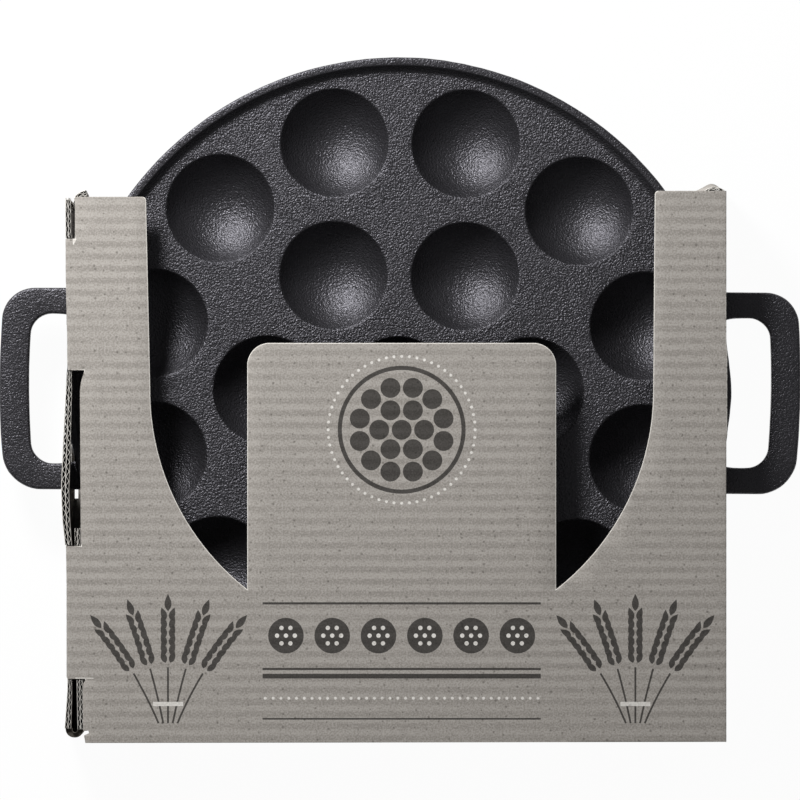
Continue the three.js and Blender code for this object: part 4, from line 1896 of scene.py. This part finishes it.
    def right_wall(self) -> BoardPanel:
        """The right wall, with its closed slot.

        Returns:
            The panel.
        """
        outline = np.array([
            (self.wall_base, self.wall_bottom), (self.wall_base, self.flap_seat),
            (self.wall_head, self.flap_seat), (self.wall_head, self.wall_bottom),
        ])
        rim, half = self.right_rim_half, self.slot_half
        slot = np.array([
            (self.slot_floor, -half), (self.slot_floor, half), (self.slot_over_handle, half),
            (self.slot_over_handle, rim), (self.slot_over_rim, rim), (self.slot_over_rim, -rim),
            (self.slot_over_handle, -rim), (self.slot_over_handle, -half),
        ])
        inner = self.right - self.board.thickness
        return BoardPanel("right_wall", "pan_and_tray", outline,
                          lambda p: np.column_stack((inner + p[:, 2], p[:, 1], p[:, 0])), self.board, [slot],
                          lambda flat: self.wall_folds(flat) | (flat[:, 0] > self.wall_head - SNAP))

    def tab(self, node: str, body: str, outline: Points) -> BoardPanel:
        """One lock tab, hanging from the front panel's left fold.

        Args:
            node: the node that it dresses.
            body: the body that it rides.
            outline: its outline, by height and along the fold.

        Returns:
            The tab's panel.
        """
        def place(local: Points) -> Points:
            """Stands the tab in the wall's line, leaning with its fold.

            Args:
                local: places on the tab, and heights above its inner face.

            Returns:
                Those places in the frame, in millimetres.
            """
            lean = self.lean(local[:, 1]) * ease(local[:, 0], self.notch, self.wall_head)
            across = self.left + self.board.thickness - local[:, 2] + lean
            return np.column_stack((across, local[:, 1], local[:, 0]))

        return BoardPanel(node, body, outline, place, self.board,
                          on_fold=lambda flat: flat[:, 0] > self.wall_head - SNAP, column=self.bent_column)

    def tabs(self) -> list[BoardPanel]:
        """Both lock tabs.

        Returns:
            The upper tab's panel and the lower one's.
        """
        tip, clip = self.notch + self.slack, self.tab_clip
        step = self.slot_half + self.slack
        low, high = self.upper
        upper = np.array([
            (self.wall_head, low), (self.slot_over_rim, low), (self.slot_over_rim, self.left_rim_half),
            (self.slot_over_handle, self.left_rim_half), (self.slot_over_handle, step),
            (tip, step), (tip, high - clip), (tip + clip, high), (self.wall_head, high),
        ])
        low, high = self.lower
        lower = np.array([
            (self.wall_head, low), (tip + clip, low), (tip, low + clip),
            (tip, high - clip), (tip + clip, high), (self.wall_head, high),
        ])
        return [self.tab("upper_lock_tab", "upper_lock", upper),
                self.tab("lower_lock_tab", "lower_lock", lower)]

    def bottom_flap(self, side: int) -> tuple[BoardPanel, FoldStrip]:
        """A bottom flap, turned round its wall's end and run up behind the wall.

        Args:
            side: -1 for the left flap, 1 for the right.

        Returns:
            The flap's panel and its crushed fold.
        """
        name = "left_bottom_flap" if side < 0 else "right_bottom_flap"
        low, high = (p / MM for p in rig.box(name))
        thickness, face = self.board.thickness, self.left if side < 0 else self.right
        radius = (thickness + self.fold_gap) / 2
        start = np.array((face - side * thickness / 2, self.wall_bottom))
        centre = (start[0] - side * radius, self.wall_bottom - self.slack)
        turn = arc(centre, radius, 180 if side < 0 else 0, 360 if side < 0 else -180, 16)
        path = Path(np.vstack((start, turn, (turn[-1][0] + side * self.flap_close[side], high.y))))
        fold = self.slack + math.pi * radius
        step = fold + (self.lower[0] - self.slack - centre[1])
        shelf = self.under - self.slack
        head = high.z if side < 0 else shelf
        outline = np.array([
            (low.z, fold), (head, fold), (head, step), (shelf, step),
            (shelf, path.length), (low.z, path.length),
        ])
        if side > 0:
            outline = np.delete(outline, (2, 3), 0)

        def place(local: Points) -> Points:
            """Bends the flap along its line.

            Args:
                local: places on the flap, and heights above its inner face.

            Returns:
                Those places in the frame, in millimetres.
            """
            spot, normal = path.at(local[:, 1])
            offset = (local[:, 2] - thickness / 2) * side * self.fold_crush
            return np.column_stack((spot + normal * offset[:, None], local[:, 0]))

        panel = BoardPanel(name, "pan_and_tray", outline, place, self.board,
                           on_fold=lambda flat: flat[:, 1] < fold + SNAP, slot="inner_kraft_board")
        share = np.linspace(0, 1, 19)
        spots, normals = path.at(fold * share)
        squeeze = np.interp(share, (0, 0.5, 1), (1, self.fold_pinch, self.fold_crush))
        step_out = normals * (side * thickness / 2 * squeeze)[:, None]
        strip = FoldStrip(name + "_fold", spots + step_out, spots - step_out, Axis.ALONG_Z, low.z, head,
                          self.board, "inner_kraft_board", rim=Face.SHADED_FLUTE, sink=self.fold_sink)
        return panel, strip

    def top_path(self, side: str) -> Path:
        """The bent line of a top flap, from the end of its wall inward.

        Args:
            side: left or right.

        Returns:
            The line in X and Y, in the middle of the board.
        """
        half = self.board.thickness / 2
        start = self.left + half if side == "left" else self.right - half
        return Path(curve_through(np.array(self.flap_bends[side]) + (start, self.flap_seat)))

    def top_flap(self, side: str) -> tuple[BoardPanel, FoldStrip]:
        """A top flap and the crease that it hangs on.

        Args:
            side: left or right.

        Returns:
            The flap's panel and its crease strip.
        """
        path, crease = self.top_path(side), self.flap_crease
        name = side + "_top_flap"
        low, high = (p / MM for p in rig.box(name))
        hand = 1 if side == "left" else -1
        corner = [(high.z, crease)]
        if side == "right":
            drop, length, run = self.flap_clip
            head, end = high.z - drop, crease + length
            corner = [(head, crease), (head, end), (high.z, end + run)]
        outline = np.array([(low.z, crease), *corner, (high.z, path.length), (low.z, path.length)])

        def crushed(length: Points) -> Points:
            """How thick the board still is along the flap, signed by its side.

            Args:
                length: lengths along the flap.

            Returns:
                Shares of the board's thickness.
            """
            pinch = ease(length, 0, self.crush_start * crease)
            pinch = pinch * (1 - ease(length, crease, crease + self.crush_reach))
            return hand * self.flap_crush * (1 - self.crease_crush[side] * pinch)

        def place(local: Points) -> Points:
            """Bends the flap along its line, twisted towards its lower end.

            Args:
                local: places on the flap, and heights above its inner face.

            Returns:
                Those places in the frame, in millimetres.
            """
            spot, normal = path.at(local[:, 1])
            offset = (local[:, 2] - self.board.thickness / 2) * crushed(local[:, 1])
            twist = self.flap_twist[side] * (high.z - local[:, 0]) / (high.z - low.z)
            twist = twist * ease(local[:, 1], crease, crease + self.twist_reach)
            return np.column_stack((spot + normal * offset[:, None] + twist[:, None] * (0, 1), local[:, 0]))

        medium, slant = self.flap_medium[side], self.flap_slant[side]
        board = replace(self.board, pitch=self.flap_pitch, medium=medium, slant=slant)
        panel = BoardPanel(name, side + "_top", outline, place, board,
                           on_fold=lambda flat: flat[:, 1] < crease + SNAP, slot="inner_kraft_board")
        lengths = np.linspace(0, crease, 9)
        spots, normals = path.at(lengths)
        side_step = normals * (self.board.thickness / 2 * crushed(lengths))[:, None]
        outer, inner, cap = spots + side_step, spots - side_step, Face.RAW
        if side == "left":
            corner = np.array((self.left, self.flap_seat))
            outer = curve_through([*(corner + self.left_bulge), outer[-1]], 4)
            inner = inner[np.linspace(0, len(inner) - 1, len(outer)).round().astype(int)]
            cap = Face.SHADED_FLUTE
        strip = FoldStrip(side + "_top_crease", outer, inner, Axis.ALONG_Z, low.z, high.z, self.board,
                          "inner_kraft_board", cap)
        return panel, strip

    def corner(self, name: str, inside: tuple[float, float], start: float, turn: int,
               span: tuple[float, float]) -> FoldStrip:
        """A right-angled crease along Y with a tight outer round.

        Args:
            name: the strip's name.
            inside: the crease's inner corner in X and Z.
            start: the direction in degrees from that corner to the strip's first side.
            turn: 1 for a strip that runs counter-clockwise, -1 for clockwise.
            span: where it begins and ends.

        Returns:
            The strip.
        """
        first, last = (np.array((math.cos(a), math.sin(a))) for a in np.radians((start, start + 90 * turn)))
        heel, both = np.array(inside), first + last
        core = heel + (self.bend - self.crease_round) * both
        rounded = arc(core, self.crease_round, start, start + 90 * turn, 6)
        outer = np.vstack((heel + self.bend * first, rounded, heel + self.bend * last))
        inner = np.tile(heel + SNAP * both, (len(outer), 1))
        strip = FoldStrip(name, outer, inner, Axis.ALONG_Y, span[0], span[1], self.board)
        if inside[1] < self.notch:
            return strip
        if inside[0] < 0:
            return replace(strip, sway=self.lean)
        return replace(strip, sway=self.bulge, worn=self.scuffed)

    def build(self, papers: Sequence[bpy.types.Material]) -> list[bpy.types.Object]:
        """Builds every panel and crease of the sleeve.

        Args:
            papers: the materials of a board piece, in slot order.

        Returns:
            All the sleeve's objects.
        """
        panels = [self.front(), self.back(), self.left_wall(), self.right_wall(), *self.tabs()]
        pieces: list[bpy.types.Object] = []
        for hand in (-1, 1):
            panel, strip = self.bottom_flap(hand)
            panels.append(panel)
            pieces.append(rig.ride(strip.build(papers), "pan_and_tray"))
        for side in ("left", "right"):
            panel, strip = self.top_flap(side)
            panels.append(panel)
            pieces.append(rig.blend(strip.build(papers), "pan_and_tray", side + "_top", *strip.ends()))
        for panel in panels:
            pieces.extend(panel.build(papers))
        pieces.extend(self.build_creases(papers))
        return pieces

    def build_creases(self, papers: Sequence[bpy.types.Material]) -> list[bpy.types.Object]:
        """Builds the creases along the walls.

        Args:
            papers: the materials of a board piece, in slot order.

        Returns:
            The crease objects.
        """
        wall = (self.wall_bottom, self.flap_seat)
        whole = (self.bottom, self.top + self.right_wing_rise)
        fixed = (("left_back_crease", self.fold_left, -1), ("right_back_crease", self.fold_right, 1))
        pieces = []
        for name, x, turn in fixed:
            strip = self.corner(name, (x, self.wall_base), 270, turn, wall).build(papers)
            pieces.append(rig.ride(strip, "pan_and_tray"))
        live = (
            ("right_front_crease", self.fold_right, -1, whole, "pan_and_tray"),
            ("upper_lock_crease", self.fold_left, 1, self.upper, "upper_lock"),
            ("lower_lock_crease", self.fold_left, 1, self.lower, "lower_lock"),
        )
        for name, x, turn, span, body in live:
            strip = self.corner(name, (x, self.wall_head), 90, turn, span)
            pieces.append(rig.blend(strip.build(papers), "front", body, *strip.ends()))
        return pieces


# The studio

@dataclass
class Studio:
    """A pale floor, soft light from the upper left and a camera straight above."""

    distance: float = 6.0
    width: float = 0.288
    aim: tuple[float, float] = (0.0005, -0.0033)
    level: float = 0.0278
    key_place: tuple[float, float, float] = (-0.335, 0.53, 0.455)
    key_size: float = 0.19
    key_watts: float = 8.9
    fill_strength: float = 0.17
    floor_half: float = 3.0
    floor_aside: float = 0.8
    floor_drop: float = 0.2
    floor_white: float = 0.965

    def camera(self) -> None:
        """Makes the camera above the pan, with the open end of the window at the top."""
        lens = bpy.data.cameras.new("camera")
        lens.sensor_width = 36.0
        lens.lens = lens.sensor_width * self.distance / self.width
        lens.clip_end = 50.0
        eye = bpy.data.objects.new("camera", lens)
        eye.location = (*self.aim, self.level + self.distance)
        bpy.context.scene.collection.objects.link(eye)
        bpy.context.scene.camera = eye

    def lamp(self, name: str, place: tuple[float, float, float], size: float, watts: float) -> None:
        """Makes a square softbox that faces the pan.

        Args:
            name: the lamp's name.
            place: where it stands.
            size: the side of the square.
            watts: its power.
        """
        light = bpy.data.lights.new(name, "AREA")
        light.size, light.energy = size, watts
        lamp = bpy.data.objects.new(name, light)
        lamp.location = place
        lamp.rotation_mode = "QUATERNION"
        lamp.rotation_quaternion = (-Vector(place)).to_track_quat("-Z", "Y")
        bpy.context.scene.collection.objects.link(lamp)

    def world(self) -> None:
        """Gives the room an even dim light, white where the camera sees it."""
        world = bpy.data.worlds.new("room")
        bpy.context.scene.world = world
        world.use_nodes = True
        tree = world.node_tree
        seen = add_node(tree, "LightPath").outputs["Is Camera Ray"]
        strength = add_node(tree, "MapRange", {"To Min": self.fill_strength, "To Max": 1.0}, {"Value": seen})
        tree.links.new(strength.outputs[0], tree.nodes["Background"].inputs["Strength"])
        tree.nodes["Background"].inputs["Color"].default_value = linear("#ffffff")

    def floor(self) -> None:
        """Lays a white floor that keeps a soft shadow, and is clear from below."""
        half, aside = self.floor_half, self.floor_aside
        corners = [(-half, -half, 0), (half, -half, 0), (half, half, 0), (-half, half, 0)]
        mesh = bpy.data.meshes.new("floor")
        mesh.from_pydata(corners, [], [(0, 1, 2, 3)])
        floor = bpy.data.objects.new("floor", mesh)
        floor.location = (aside, -aside, -self.floor_drop * MM)
        bpy.context.scene.collection.objects.link(floor)
        material = bpy.data.materials.new("studio_floor")
        material.use_nodes = True
        tree = material.node_tree
        shader = tree.nodes["Principled BSDF"]
        shader.inputs["Base Color"].default_value = linear("#f2f2f2")
        shader.inputs["Roughness"].default_value = 1.0
        shader.inputs["Specular IOR Level"].default_value = 0.0
        rays = add_node(tree, "LightPath").outputs
        seen = add_node(tree, "Math", {"operation": "MAXIMUM"},
                        {0: rays["Is Camera Ray"], 1: rays["Is Glossy Ray"]}).outputs[0]
        glow = add_node(tree, "Math", {"operation": "MULTIPLY", 1: self.fill_strength},
                        {0: rays["Is Diffuse Ray"]}).outputs[0]
        share = add_node(tree, "Math", {"operation": "MULTIPLY_ADD", 1: self.floor_white},
                         {0: seen, 2: glow}).outputs[0]
        white = add_node(tree, "Emission", {"Color": linear("#ffffff"), "Strength": 1.0})
        lit = add_node(tree, "MixShader", links={0: share, 1: shader.outputs[0], 2: white.outputs[0]})
        clear = add_node(tree, "BsdfTransparent")
        under = add_node(tree, "NewGeometry").outputs["Backfacing"]
        both = add_node(tree, "MixShader", links={0: under, 1: lit.outputs[0], 2: clear.outputs[0]})
        tree.links.new(both.outputs[0], tree.nodes["Material Output"].inputs["Surface"])
        mesh.materials.append(material)
        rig.stage(floor)

    def build(self) -> None:
        """Sets up the camera, the light, the floor and the view."""
        bpy.context.scene.view_settings.view_transform = "Standard"
        self.camera()
        self.lamp("key", self.key_place, self.key_size, self.key_watts)
        self.world()
        self.floor()


def write_sizes() -> None:
    """Writes the frame's box and the dressed object's box, for comparison."""
    boxes = {"cad": [list(p) for p in CAD_BOX], "visual": [list(p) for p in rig.bounds()]}
    with open("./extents.json", "w") as out:
        json.dump(boxes, out)


def main() -> None:
    """Builds the pan, its sleeve and the studio."""
    logging.basicConfig(level=logging.INFO)
    Studio().build()
    pan = PanCasting().build(SeasonedIron().make())
    LOG.info("%s: %d faces", pan.name, len(pan.data.polygons))
    ink = KraftLiner("dark_ink_on_kraft", "#4b4845", "#3b3835", "#292725", "#6a6763")
    white = KraftLiner("white_ink_on_kraft", "#e2dfda", "#cdc9c3", "#a9a49d", "#efedea")
    # the fluting paper is darkened as painted shade in the flutes' holes and the crushed folds
    fluting = CutPaper("shaded_fluting_paper", "#57524c", "#413d38")
    papers = [KraftLiner().make(), CutPaper().make(), fluting.make(), ink.make(), white.make()]
    for piece in Sleeve().build(papers):
        LOG.info("%s: %d faces", piece.name, len(piece.data.polygons))
    write_sizes()


if __name__ == "__main__":
    main()
